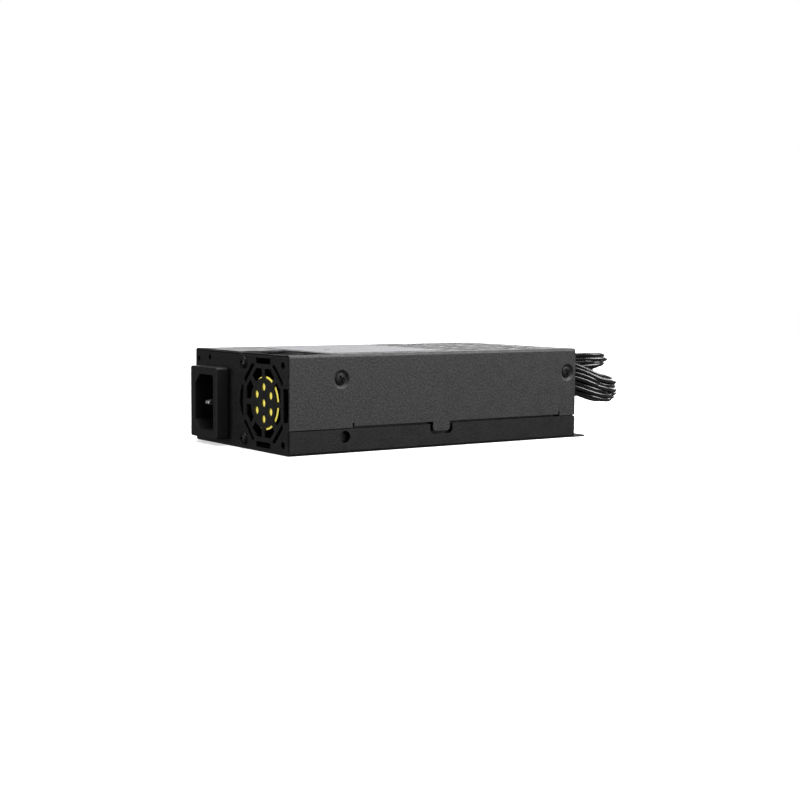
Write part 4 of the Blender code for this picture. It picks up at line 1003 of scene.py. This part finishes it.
def cover_screw(node, x, z, far):
    """Countersunk screw with a slightly domed head, just below the face."""
    profile = [(0.0, -0.1), (1.2, -0.12), (2.0, -0.2), (2.35, -0.32), (2.42, -0.45), (2.35, -0.55)]
    profile += [(1.25, -0.9), (1.2, -5.0), (0.0, -5.2)]
    head = screw(profile, (x, WIDTH - 0.2 if far else 0.2, z), (0, 1 if far else -1, 0), 1.25, 0.75)
    return show(f"{node}_body", head, node, BLACK_OXIDE)


def fan_screw(node, z):
    """Pan-head screw that holds the fan from outside."""
    profile = [(0.0, 1.2), (0.9, 1.17), (1.7, 0.98), (2.3, 0.6), (2.55, 0.2), (2.6, 0.0), (1.4, 0.0)]
    profile += [(1.4, -8.0), (0.0, -8.2)]
    head = screw(profile, (-0.3, FAN_MIDDLE.y + FAN_PITCH / 2, z), (-1, 0, 0), 1.3, 0.8, 1.2)
    return show(f"{node}_body", head, node, BLACK_OXIDE)


def screws():
    for number, (x, z) in enumerate(COVER_SCREWS, 1):
        cover_screw(f"cover_screw_near_{number}", x, z, False)
        cover_screw(f"cover_screw_far_{number}", x, z, True)
    fan_screw("fan_screw_lower", FAN_MIDDLE.z - FAN_PITCH / 2)
    fan_screw("fan_screw_upper", FAN_MIDDLE.z + FAN_PITCH / 2)


# ---------------------------------------------------------------- mains inlet

def inlet():
    """Inlet housing with rounded flange, six-sided mouth and three blades."""
    low, high = span("inlet_housing")
    flange = soften(prism(rounded((low.y, low.z), (high.y, high.z), 1.2), low.x, -0.3, across), 0.45, 3)
    rear = soften(box((-1.0, low.y + 1.9, 3.9), (high.x, high.y - 1.9, 31.4)), 0.3)
    body = unite(flange, rear)
    y0, z0, y1, z1 = 54.0, 6.0, 70.6, 29.9
    far = 4.2
    mouth = arc((y0 + 1.5, z0 + 1.5), 1.5, 180.0, 270.0, 5) + [(y1 - far, z0), (y1, z0 + far)]
    mouth += [(y1, z1 - far), (y1 - far, z1)] + arc((y0 + 1.5, z1 - 1.5), 1.5, 90.0, 180.0, 5)
    cut(body, prism(mouth, low.x - 1.0, 10.5, across))
    slots = []
    for name in INLET_PINS:
        pin, pin_high = span(f"inlet_pin_{name}")
        gap = 0.15
        corner = (high.x + 1.0, pin_high.y + gap, pin_high.z + gap)
        slots.append(((5.0, pin.y - gap, pin.z - gap), corner))
    cut(body, boxes(slots))
    show("inlet_body", soften(body, 0.12), "inlet_housing", INLET_PLASTIC)
    for name in INLET_PINS:
        blade(name)


def blade(name):
    """Flat blade whose tip tapers on all four sides."""
    low, high = span(f"inlet_pin_{name}")
    middle = (low + high) / 2
    half = (high - low) / 2
    work = bmesh.new()
    rings = []
    taper = ((low.x, 0.7, 0.55), (low.x + 0.4, 0.85, 0.75), (low.x + 1.6, 1.0, 1.0), (high.x, 1.0, 1.0))
    for x, share_y, share_z in taper:
        outline = rectangle(*around((middle.y, middle.z), half.y * share_y, half.z * share_z))
        rings.append([work.verts.new((x, y, z)) for y, z in outline])
    for first, second in zip(rings, rings[1:]):
        sew(work, first, second)
    work.faces.new(rings[0])
    work.faces.new(rings[-1])
    bmesh.ops.recalc_face_normals(work, faces=work.faces)
    made = soften(object_of("blade", work), 0.15, 2)
    show(f"inlet_blade_{name}", made, f"inlet_pin_{name}", NICKEL)


# ---------------------------------------------------------------- fan

def fan_housing():
    """Square frame: two flanges round a duct, with struts that carry the motor base."""
    x0, x1 = FAN_LOW.x, FAN_HIGH.x
    centre = (FAN_MIDDLE.y, FAN_MIDDLE.z)
    half = FAN_SIZE / 2
    flange = 3.4
    housing = prism(rounded(*around(centre, half), 2.6), x0, x1, across)
    waist = prism(rectangle(*around(centre, half + 1.0)), x0 + flange, x1 - flange, across)
    cut(waist, round_bar(half + 0.1, FAN_MIDDLE, AXIS_X, 30.0, 64))
    cut(housing, waist, round_bar(DUCT_RADIUS, FAN_MIDDLE, AXIS_X, 30.0, 64))
    pitch = FAN_PITCH / 2
    for side_y in (-pitch, pitch):
        for side_z in (-pitch, pitch):
            place = FAN_MIDDLE + Vector((0.0, side_y, side_z))
            cut(housing, round_bar(1.75, place, AXIS_X, 30.0, 24))
    base = [(0.0, 2.6), (HUB_RADIUS, 2.6), (HUB_RADIUS, 0.35), (0.0, 0.35)]
    hub = spun(base, (x0, *centre), AXIS_X, 64)
    for angle in (45.0, 135.0):
        strut = turned(rectangle((-19.2, -1.1), (19.2, 1.1)), centre, angle)
        unite(hub, prism(strut, x0 + 0.75, x0 + 2.45, across))
    tower = spun([(2.8, 14.8), (3.8, 14.8), (3.8, 2.0), (2.8, 2.0)], (x0, *centre), AXIS_X, 48)
    unite(housing, hub)
    whole = join([soften(housing, 0.2), soften(tower, 0.15)])
    show("fan_housing", whole, "fan_frame", FAN_PLASTIC)


def impeller():
    """Hub cup and curved blades; it turns with the rotor."""
    top, wall = 8.6, 1.2
    profile = [(1.65, top), (9.0, top), (10.2, top - 0.3), (HUB_RADIUS, top - wall), (HUB_RADIUS, -6.4)]
    profile += [(9.7, -6.4), (9.7, top - wall), (3.4, top - wall), (3.4, top - 2.6), (1.65, top - 2.6)]
    hub = soften(spun(profile, FAN_MIDDLE, AXIS_X, 72), 0.12)
    show("fan_impeller", join([hub, fan_blades()]), "fan_rotor", ROTOR_PLASTIC, "rotor")


def blade_side(work, start, side):
    """Rows of points over one side of a blade, from its root out, each from front to rear."""
    ribs, chord = 6, 12
    sheet = []
    for rib in range(ribs):
        out = rib / (ribs - 1)
        radius = 10.3 + 7.75 * out
        row = []
        for step in range(chord + 1):
            part = step / chord
            sweep = (33.0 + 5.0 * out) * (part - 0.22 * math.sin(math.pi * part))
            angle = start + 7.0 * out ** 1.4 + sweep
            thick = 0.14 + 0.42 * math.sin(math.pi * min(1.0, 0.06 + part)) * (1.0 - 0.35 * out)
            x = FAN_MIDDLE.x - 5.4 + 13.0 * part + side * thick * 0.62
            y, z = polar((FAN_MIDDLE.y, FAN_MIDDLE.z), angle - side * thick * 2.2, radius, 0.0)
            row.append(work.verts.new((x, y, z)))
        sheet.append(row)
    return sheet


def fan_blades():
    """Each blade sweeps round the axis from its front edge to its rear edge and thins towards both."""
    work = bmesh.new()
    for number in range(BLADES):
        near, far = [blade_side(work, 360.0 / BLADES * number, side) for side in (-1, 1)]
        strips = [*zip(near, near[1:]), *zip(far, far[1:]), (near[0], far[0]), (near[-1], far[-1])]
        strips += [([row[end] for row in near], [row[end] for row in far]) for end in (0, -1)]
        for first, second in strips:
            sew(work, first, second, closed=False)
    bmesh.ops.recalc_face_normals(work, faces=work.faces)
    return object_of("blades", work)


def yellow_print():
    """Yellow sticker film with faint blank marks that form no lettering; it glows a little, painted light
    that keeps it bright behind the grille.
    """
    # painted light: a weak yellow glow stands in for the light the sticker would catch through the grille's
    # holes
    glow = {"Emission Color": (0.87, 0.75, 0.13, 1.0), "Emission Strength": 0.7}
    film = Finish("motor_label", sockets=glow)
    cloud = film.noise(1.6, 3.0)
    marks = film.remap(film.noise(0.9, 1.0), 0.0, 0.75, 0.58, 0.64)
    tone = film.blend(film.remap(cloud, 0.0, 1.0), (0.86, 0.72, 0.12), (0.92, 0.8, 0.17))
    film.color(film.blend(marks, tone, (0.5, 0.4, 0.1)))
    film.roughness(film.remap(cloud, 0.4, 0.5))
    return film.relief(cloud, 0.004)


def motor_label():
    low, high = span("fan_label")
    radius = HUB_RADIUS - 0.1
    disc = [(0.0, high.x), (radius - 0.15, high.x), (radius, high.x - 0.04), (radius, low.x), (0.0, low.x)]
    made = spun(disc, (0.0, FAN_MIDDLE.y, FAN_MIDDLE.z), AXIS_X, 72)
    show("motor_label", made, "fan_label", yellow_print())


# ---------------------------------------------------------------- rating label

def label_print():
    """Silver film with brush marks and the thin lines of a blank table: no lettering."""
    film = Finish("rating_label", sockets={"Specular IOR Level": 0.3})
    grid = film.node("TexBrick", {
        "Vector": film.place, "Scale": 1.0, "Mortar Size": 0.00018, "Mortar Smooth": 0.1,
        "Brick Width": 0.0146, "Row Height": 0.0056,
    }, offset=0.0)
    brushed = {"Vector": film.stretched(0.15, 6.0, 1.0), "Scale": 1.0, "Detail": 3.0}
    brush = film.node("TexNoise", brushed).outputs[0]
    tone = film.blend(film.remap(brush, 0.0, 1.0), (0.16, 0.16, 0.17), (0.2, 0.2, 0.21))
    film.color(film.blend(film.math("MULTIPLY", grid.outputs["Fac"], 0.75), tone, (0.08, 0.08, 0.09)))
    film.roughness(film.remap(brush, 0.55, 0.65))
    return film.relief(brush, 0.004)


def rating_label():
    low, high = span("rating_label")
    sheet = prism(rounded((low.x, low.y), (high.x, high.y), 1.5), low.z, high.z)
    cut(sheet, prism(circle(LABEL_HOLE, 1.6, 28), low.z - 1.0, high.z + 1.0))
    show("rating_film", sheet, "rating_label", label_print())


def bushing():
    """Plastic ring snapped into the rear panel round the wires."""
    low, high = span("cable_bushing")
    brim = 2.0
    wall = 1.2

    def grown(by):
        """Outline of the opening, larger all round."""
        corner = (low.y + brim - by, low.z + brim - by)
        return rounded(corner, (high.y - brim + by, high.z - brim + by), 3.6 + by)

    ring = prism(grown(wall), low.x, high.x - 0.2, across)
    unite(ring, prism(grown(brim), LENGTH + 0.3, high.x, across))
    cut(ring, prism(grown(0.0), low.x - 1.0, high.x + 1.0, across))
    show("outlet_bushing", soften(ring, 0.3, 3), "cable_bushing", BUSHING_PLASTIC)


# ---------------------------------------------------------------- circuit board

def keep(node, paint):
    """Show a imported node's own solid in a finished material."""
    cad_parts[node].material_slots[0].material = paint


def solder_mask():
    """Green lacquer over copper pours and tracks, which show as lighter raised fields."""
    mask = Finish("solder_mask")
    pours = mask.remap(mask.noise(9.0, 1.0), 0.0, 1.0, 0.49, 0.5)
    grid = {"Vector": mask.place, "Scale": 1.0, "Mortar Size": 0.0004, "Brick Width": 0.011}
    tracks = mask.node("TexBrick", {**grid, "Row Height": 0.0034}).outputs["Fac"]
    copper = mask.math("MAXIMUM", pours, tracks)
    mask.color(mask.blend(copper, (0.012, 0.085, 0.035), (0.03, 0.16, 0.06)))
    mask.roughness(mask.remap(mask.noise(3.0), 0.25, 0.38))
    return mask.relief(copper, 0.05, 0.6)


SOLDER_MASK = solder_mask()
SOLDER = grained("solder", grey(0.5), grey(0.68), 0.6, 0.02, (0.22, 0.36), 1.0)
STEEL = grained("steel", grey(0.45), grey(0.6), 0.5, 0.01, (0.25, 0.38), 1.0)
BRASS = grained("brass", (0.62, 0.44, 0.17), (0.74, 0.55, 0.24), 0.7, 0.01, (0.28, 0.4), 1.0)
ALUMINIUM = grained("aluminium", grey(0.58), grey(0.7), 0.4, 0.015, (0.34, 0.46), 1.0)
COPPER_WIRE = grained("enamelled_copper", (0.5, 0.17, 0.06), (0.66, 0.26, 0.1), 0.8, 0.01, (0.2, 0.32), 0.85)
FERRITE = grained("ferrite", grey(0.03), grey(0.055), 0.4, 0.03, (0.5, 0.65))
POWDERED_IRON = grained("iron_powder_core", (0.5, 0.4, 0.06), (0.62, 0.5, 0.09), 0.5, 0.02, (0.5, 0.62))
COIL_TAPE = grained("polyester_tape", (0.7, 0.52, 0.09), (0.8, 0.62, 0.14), 1.4, 0.03, (0.22, 0.34))
EPOXY = grained("moulded_epoxy", grey(0.014), grey(0.028), 0.3, 0.02, (0.42, 0.56))
FILM = grained("insulation_film", grey(0.008), grey(0.016), 2.0, 0.02, (0.3, 0.42))
STRIPE = grained("sleeve_print", grey(0.55), grey(0.7), 0.8, 0.005, (0.35, 0.45))
BLUE_SLEEVE = grained("blue_sleeve", (0.01, 0.018, 0.07), (0.016, 0.028, 0.1), 1.5, 0.01, (0.22, 0.34))
GREEN_SLEEVE = grained("green_sleeve", (0.012, 0.035, 0.016), (0.02, 0.055, 0.026), 1.5, 0.01, (0.22, 0.34))
CERAMIC = grained("fuse_ceramic", (0.7, 0.67, 0.6), (0.8, 0.77, 0.7), 0.8, 0.01, (0.3, 0.42))
FILM_BOX = grained("film_capacitor_box", (0.6, 0.47, 0.08), (0.7, 0.56, 0.12), 0.6, 0.02, (0.36, 0.48))
BLUE_SKIN = grained("blue_wire", (0.012, 0.05, 0.24), (0.02, 0.07, 0.32), 1.2, 0.01, (0.25, 0.36))
GREEN_SKIN = grained("green_wire", (0.04, 0.22, 0.03), (0.08, 0.32, 0.05), 1.2, 0.01, (0.25, 0.36))
LAMINATION = grained("laminations", grey(0.2), grey(0.42), 0.3, 0.05, (0.35, 0.5), 0.9)


def circuit_board():
    """Board with its screw holes, and a tinned land round each hole."""
    low, high = span("main_board")
    board = prism(rectangle((low.x, low.y), (high.x, high.y)), low.z, high.z)
    cut(board, prisms([circle(place, 1.7, 24) for place in BOARD_SCREWS], low.z - 1.0, high.z + 1.0))
    show("circuit_board", soften(board, 0.12), "main_board", SOLDER_MASK)
    land = [(1.8, 0.05), (3.1, 0.05), (3.1, 0.01), (1.8, 0.01)]
    lands = [spun(land, (x, y, high.z), AXIS_Z, 32) for x, y in BOARD_SCREWS]
    show("screw_lands", join(lands), None, SOLDER)


def board_hardware():
    """Pan-head screws in hexagonal stand-offs."""
    profile = [(0.0, 1.75), (1.1, 1.7), (1.9, 1.45), (2.5, 0.9), (2.75, 0.3), (2.7, 0.0), (1.3, 0.0)]
    profile += [(1.3, -4.2), (0.0, -4.4)]
    for number, (x, y) in enumerate(BOARD_SCREWS, 1):
        keep(f"board_standoff_{number}", BRASS)
        head = screw(profile, (x, y, BOARD_TOP + 0.2), AXIS_Z, 1.4, 0.9, 1.75, 32)
        show(f"board_screw_{number}_body", head, f"board_screw_{number}", STEEL)


def leads(name, places, top, size=0.35):
    """Square tinned legs that stand in solder on the board."""
    legs = [((x - size, y - size, BOARD_TOP + 0.1), (x + size, y + size, top)) for x, y in places]
    fillet = [(0.0, 0.55), (0.5, 0.5), (0.75, 0.2), (1.05, 0.02), (0.0, 0.02)]
    joints = [spun(fillet, (x, y, BOARD_TOP), AXIS_Z, 16) for x, y in places]
    show(name, join([boxes(legs), *joints]), None, SOLDER)


def control_card():
    """Upright card with three chips, small parts between them and a row of pins below."""
    low, high = span("control_board")
    card = cut(box(low, high), round_bar(0.9, (low.x, low.y + 2.5, high.z - 2.5), AXIS_X, 6.0, 20))
    show("control_card", soften(card, 0.1), "control_board", SOLDER_MASK)
    chips = []
    for y, z, wide, tall in ((51.0, 17.0, 4.0, 5.0), (60.5, 18.0, 5.2, 7.0), (70.0, 17.0, 4.0, 5.0)):
        near, far = around((y, z), wide / 2, tall / 2)
        chips.append(((low.x - 1.2, *near), (low.x - 0.1, *far)))
    show("control_chips", soften(boxes(chips), 0.12), None, EPOXY)
    caps = []
    for column in range(9):
        y = 48.0 + 3.0 * column
        caps.append(((low.x - 0.7, y - 0.4, 10.2), (low.x - 0.02, y + 0.4, 11.8)))
    show("control_small_parts", soften(boxes(caps), 0.1), None, COIL_TAPE)
    pins = [(low.x - 0.6, 47.0 + 2.54 * column) for column in range(11)]
    leads("control_pins", pins, low.z + 2.4, 0.3)


def heat_sink(node, name):
    """Extruded comb: upright fins on a bar, grooved on the bar's back."""
    low, high = span(node)
    fins, thick, root = 9, 1.2, 15.5
    step = (high.x - low.x - thick) / (fins - 1)
    outline = [(low.x, high.y), (low.x, low.y)]
    for number in range(fins):
        x = low.x + step * number
        if number:
            outline += [(x, root), (x, low.y)]
        outline.append((x + thick, low.y))
        if number < fins - 1:
            outline.append((x + thick, root))
    outline.append((high.x, high.y))
    comb = soften(prism(outline, low.z, high.z), 0.18)
    show(name, comb, node, ALUMINIUM)


def power_device(node, name):
    """Three-lead power device: moulded body, metal tab with a screw through it, and bent legs."""
    low, high = span(node)
    body_low, body_high = low.z + 4.9, low.z + 14.9
    body = soften(box((low.x, low.y + 0.6, body_low), (high.x, high.y, body_high)), 0.3)
    show(name, body, node, EPOXY)
    tab = box((low.x + 0.1, low.y, body_low + 0.6), (high.x - 0.1, low.y + 0.55, high.z))
    middle = (low.x + high.x) / 2
    hole_z = high.z - 2.6
    cut(tab, round_bar(1.8, (middle, low.y, hole_z), AXIS_Y, 6.0, 24))
    legs = []
    for lead in (2.2, 5.0, 7.8):
        x = low.x + lead
        legs.append(((x - 0.4, low.y + 1.7, low.z - 0.2), (x + 0.4, low.y + 2.3, body_low)))
    show(f"{name}_tab", soften(join([tab, boxes(legs)]), 0.1), None, TIN_PLATE)
    profile = [(0.0, 1.5), (1.4, 1.3), (2.3, 0.7), (2.5, 0.0), (1.5, 0.0), (1.5, -0.4), (0.0, -0.4)]
    head = screw(profile, (middle, low.y + 0.65, hole_z), AXIS_Y, 1.3, 0.8, 1.5, 32)
    show(f"{name}_screw", head, None, STEEL)


def electrolytic(node, name, sleeve):
    """Sleeved can with a rolled groove, a scored aluminium top and a printed stripe."""
    low, high = span(node)
    x, y = (low.x + high.x) / 2, (low.y + high.y) / 2
    radius = (high.x - low.x) / 2
    top = high.z - low.z
    groove, shoulder, lip, lid = radius - 0.5, radius - 0.2, radius - 1.6, radius - 1.7
    profile = [(lip, top), (radius - 0.5, top), (radius - 0.12, top - 0.15), (radius, top - 0.6)]
    profile += [(radius, 3.4), (shoulder, 3.0), (groove, 2.7), (groove, 2.1), (shoulder, 1.8)]
    profile += [(radius, 1.4), (radius, 0.4), (radius - 0.3, 0.05), (lip, 0.0)]
    show(name, spun(profile, (x, y, low.z), AXIS_Z, 56), node, sleeve)
    cap = spun([(0.0, top - 0.3), (lid, top - 0.3), (lid, 0.6), (0.0, 0.6)], (x, y, low.z), AXIS_Z, 48)
    reach = radius - 2.4
    for angle in (20.0, 110.0):
        score = turned(rectangle((-reach, -0.2), (reach, 0.2)), (x, y), angle)
        cut(cap, prism(score, high.z - 0.5, high.z))
    show(f"{name}_top", cap, None, ALUMINIUM)
    band = arc((x, y), radius + 0.06, 60.0, 100.0, 10) + arc((x, y), radius + 0.01, 100.0, 60.0, 10)
    show(f"{name}_stripe", prism(band, low.z + 4.0, high.z - 1.0), None, STRIPE)


def choke(node, name, wire, turns, core):
    """Ring core with its turns of enamelled wire, whose ends run down into the board."""
    low, high = span(node)
    x, y = (low.x + high.x) / 2, (low.y + high.y) / 2
    tube = (high.z - low.z) / 2
    ring = (high.x - low.x) / 2 - tube
    z = low.z + tube
    wound = tube - wire / 2
    section = circle((ring, 0.0), wound - wire / 2 - 0.03, 20)
    show(name, spun(section, (x, y, z), AXIS_Z, 64), node, core)
    line = []
    steps = 14 * turns
    for step in range(steps + 1):
        along_ring = math.radians(15.0 + 330.0 * step / steps)
        round_wire = 2 * math.pi * turns * step / steps
        out = ring + wound * math.cos(round_wire)
        y_here = y + out * math.sin(along_ring)
        line.append(Vector((x + out * math.cos(along_ring), y_here, z - wound * math.sin(round_wire))))
    for end, at in ((0, 0), (-1, len(line) + 1)):
        foot = line[end].copy()
        foot.z = BOARD_TOP + 0.1
        line.insert(at, foot)
    show(f"{name}_winding", tubes([line], wire, 8), None, COPPER_WIRE)
    leads(f"{name}_joints", [(line[0].x, line[0].y), (line[-1].x, line[-1].y)], BOARD_TOP + 0.6)


def main_transformer():
    """Two ferrite halves round a taped coil on a bobbin with pins."""
    low, high = span("transformer_core")
    coil_low, coil_high = span("transformer_winding")
    middle = (low + high) / 2
    core = prism(rectangle((low.x, low.z), (high.x, high.z)), low.y, high.y, along)
    windows = []
    for side in (-1, 1):
        near, far = sorted((middle.x + side * 4.0, middle.x + side * 10.0))
        windows.append(rectangle((near, middle.z - 8.0), (far, middle.z + 8.0)))
    cut(core, prisms(windows, low.y - 1.0, high.y + 1.0, along))
    for y in (low.y, high.y):
        cut(core, box((low.x - 1.0, y - 0.15, middle.z - 0.1), (high.x + 1.0, y + 0.15, middle.z + 0.1)))
    show("transformer_ferrite", soften(core, 0.35), "transformer_core", FERRITE)
    hole = rectangle(*around(middle, 4.3, 5.3))
    inset = 0.5
    corner = (coil_high.x - inset, coil_high.y - inset)
    section = rounded((coil_low.x + inset, coil_low.y + inset), corner, 2.2)
    coil = prism(section, coil_low.z + 1.0, coil_high.z - 1.0)
    soften(cut(coil, prism(hole, coil_low.z - 1.0, coil_high.z + 1.0)), 0.3)
    show("transformer_coil", coil, "transformer_winding", COIL_TAPE)
    flanges = []
    for z in (coil_low.z, coil_high.z - 0.9):
        flange = prism(rounded((coil_low.x, coil_low.y), (coil_high.x, coil_high.y), 1.0), z, z + 0.9)
        flanges.append(soften(cut(flange, prism(hole, z - 1.0, z + 2.0)), 0.15))
    show("transformer_bobbin", join(flanges), None, EPOXY)
    pin_rows = (coil_low.y + 1.0, coil_high.y - 1.0)
    pins = [(middle.x - 7.5 + 3.0 * column, y) for column in range(6) for y in pin_rows]
    leads("transformer_pins", pins, coil_low.z + 0.05)


def small_transformer():
    """Bobbin with two flanges and tape round its coil."""
    low, high = span("standby_transformer")
    place = ((low.x + high.x) / 2, (low.y + high.y) / 2, low.z)
    profile = [(0.0, 14.0), (6.6, 14.0), (7.0, 13.6), (7.0, 12.6), (6.8, 12.4), (4.4, 12.4)]
    profile += [(4.4, 2.4), (6.8, 2.4), (7.0, 2.2), (7.0, 0.3), (6.7, 0.0), (0.0, 0.0)]
    show("standby_bobbin", spun(profile, place, AXIS_Z, 48), "standby_transformer", FERRITE)
    tape = [(5.4, 12.2), (5.7, 11.9), (5.7, 2.9), (5.4, 2.6), (4.5, 2.6), (4.5, 12.2)]
    show("standby_tape", spun(tape, place, AXIS_Z, 48), None, COIL_TAPE)


def fuse():
    """Ceramic tube with pressed end caps, on two wire legs."""
    low, high = span("fuse")
    middle = (low + high) / 2
    tube = [(0.0, 9.0), (2.3, 9.0), (2.3, -9.0), (0.0, -9.0)]
    show("fuse_tube", spun(tube, middle, AXIS_X, 40), "fuse", CERAMIC)
    cap = [(2.34, 5.2), (2.6, 5.3), (2.6, 9.6), (2.3, 10.0), (0.0, 10.0), (0.0, 9.1), (2.34, 9.1)]
    caps = [spun(cap, middle, (side, 0, 0), 40) for side in (-1, 1)]
    show("fuse_caps", join(caps), None, TIN_PLATE)
    leads("fuse_legs", [(middle.x - 7.5, middle.y), (middle.x + 7.5, middle.y)], low.z + 0.1, 0.4)


def box_parts():
    """Boxed film capacitor and the upright bridge rectifier."""
    low, high = span("filter_capacitor")
    body = soften(box(low, high), 0.5, 3)
    show("film_capacitor", body, "filter_capacitor", FILM_BOX)
    middle = (low + high) / 2
    leads("film_capacitor_legs", [(middle.x, low.y + 2.5), (middle.x, high.y - 2.5)], low.z + 0.1)
    low, high = span("bridge_rectifier")
    corner = 2.5
    outline = [(low.y, low.z + 3.2), (high.y, low.z + 3.2), (high.y, high.z), (low.y + corner, high.z)]
    body = prism(outline + [(low.y, high.z - corner)], low.x, high.x, across)
    cut(body, round_bar(1.6, (low.x, (low.y + high.y) / 2, high.z - 5.0), AXIS_X, 12.0, 28))
    show("bridge_body", soften(body, 0.3), "bridge_rectifier", EPOXY)
    x = (low.x + high.x) / 2
    leads("bridge_legs", [(x, low.y + 2.0 + 5.2 * leg) for leg in range(4)], low.z + 3.4, 0.45)


# ---------------------------------------------------------------- inside wires and the fan's motor

def inside_wires():
    """Leads from the inlet's blades to the board, with sleeved push-on terminals, and the fan's lead."""
    landing = BOARD_TOP + 1.2
    skins = (("line", WIRE_SKIN, "wire_black", 57.0), ("neutral", BLUE_SKIN, "wire_blue", 61.5))
    skins += (("earth", GREEN_SKIN, "wire_green", 66.0),)
    for name, skin, slot, down in skins:
        low, high = span(f"inlet_pin_{name}")
        y, z = (low.y + high.y) / 2, (low.z + high.z) / 2
        start = span(f"inlet_wire_{name}")[0].x
        points = [(start, y, z), (start + 3.0, y, z), (28.5, (y + down) / 2, (z + landing) / 2)]
        wire = tubes([smooth_route(points + [(31.0, down, landing)], 0.8)], 2.2, 16)
        show(f"inlet_lead_{name}", wire, f"inlet_wire_{name}", skin)
        sleeve = box((14.6, low.y - 0.7, low.z - 0.7), (start + 1.0, high.y + 0.7, high.z + 0.7))
        cut(sleeve, box((14.0, low.y - 0.1, low.z - 0.1), (start - 0.1, high.y + 0.1, high.z + 0.1)))
        cut(sleeve, round_bar(1.15, (start, y, z), AXIS_X, 8.0, 20))
        show(f"terminal_sleeve_{name}", soften(sleeve, 0.25), None, skin)
    points = [(21.6, 37.0, 12.0), (24.0, 37.0, 12.2), (27.0, 37.0, 10.5), (28.5, 37.0, landing)]
    pair = []
    for side in (-0.52, 0.52):
        pair.append(smooth_route([(x, y + side, z) for x, y, z in points], 0.6))
    show("fan_lead_wires", tubes(pair, 1.0, 12), "fan_lead", WIRE_SKIN)


def harness():
    """The output wires from the outlet down to their pads at the board's rear edge."""
    start = span("cable_bushing")[0].x + 1.5
    tops = []
    for cord in CORDS.values():
        y, z = cord.route[0][1:]
        tops += [(y - aside, z + up) for aside, up in cord.leaving]
    tops.sort(key=lambda place: place[1])
    lines = []
    columns = 4
    per_column = math.ceil(len(tops) / columns)
    for column in range(columns):
        group = sorted(tops[column * per_column:(column + 1) * per_column])
        x = 145.0 - 2.5 * column
        for row, (y, z) in enumerate(group):
            land = 17.5 + 2.5 * row
            points = [(BUSHING_REAR, y, z), (start, y, z), (x + 1.2, (y + land) / 2, z - 1.0)]
            points += [(x, land, (z + BOARD_TOP) / 2), (x, land, BOARD_TOP + 0.3)]
            lines.append(smooth_route(points, 1.2))
    show("board_harness", tubes(lines, 1.9, 10), None, WIRE_SKIN)


def fan_motor():
    """Laminated four-pole stator with a coil on each pole, the sleeve bearing and the shaft."""
    keep("fan_shaft", STEEL)
    keep("fan_bearing", BRASS)
    x, y, z = FAN_MIDDLE
    x -= 1.5
    outline = []
    for pole in range(4):
        middle = 90.0 * pole
        outline += [polar((y, z), middle, 4.9, -1.3), polar((y, z), middle, 7.6, -1.3)]
        outline += arc((y, z), 8.9, middle - 34.0, middle + 34.0, 10)
        outline += [polar((y, z), middle, 7.6, 1.3)]
    stack = prism(outline, x - 3.4, x + 3.4, across)
    cut(stack, round_bar(4.1, (x, y, z), AXIS_X, 20.0, 40))
    show("stator_stack", soften(stack, 0.1), "fan_stator", LAMINATION)
    lines = []
    for pole in range(4):
        turn = math.radians(90.0 * pole)
        out = Vector((0.0, math.cos(turn), math.sin(turn)))
        side = Vector((0.0, -math.sin(turn), math.cos(turn)))
        line = []
        turns, corners = 6, 16
        for step in range(turns * corners + 1):
            angle = 2 * math.pi * step / corners
            loop = side * (1.75 * math.cos(angle)) + Vector((3.9 * math.sin(angle), 0.0, 0.0))
            reach = 5.2 + 2.1 * step / (turns * corners)
            line.append(Vector((x, y, z)) + out * reach + loop)
        lines.append(line)
    show("stator_coils", tubes(lines, 0.36, 6), None, COPPER_WIRE)


def board_parts():
    circuit_board()
    board_hardware()
    control_card()
    for side in ("primary", "output"):
        heat_sink(f"heat_sink_{side}", f"{side}_heat_sink")
    power_device("switching_transistor", "transistor")
    power_device("output_rectifier", "rectifier")
    electrolytic("bulk_capacitor", "bulk_can", BLUE_SLEEVE)
    for number in (1, 2):
        electrolytic(f"output_capacitor_{number}", f"output_can_{number}", GREEN_SLEEVE)
    choke("filter_choke", "filter_core", 1.0, 20, FERRITE)
    choke("boost_choke", "boost_core", 1.1, 24, POWDERED_IRON)
    choke("output_choke", "output_core", 1.3, 15, POWDERED_IRON)
    main_transformer()
    small_transformer()
    fuse()
    box_parts()


# ---------------------------------------------------------------- assembly

camera()
studio()
output_cords()
tray()
cover()
screws()
inlet()
fan_housing()
impeller()
motor_label()
rating_label()
bushing()
keep("insulation_sheet", FILM)
board_parts()
inside_wires()
harness()
fan_motor()
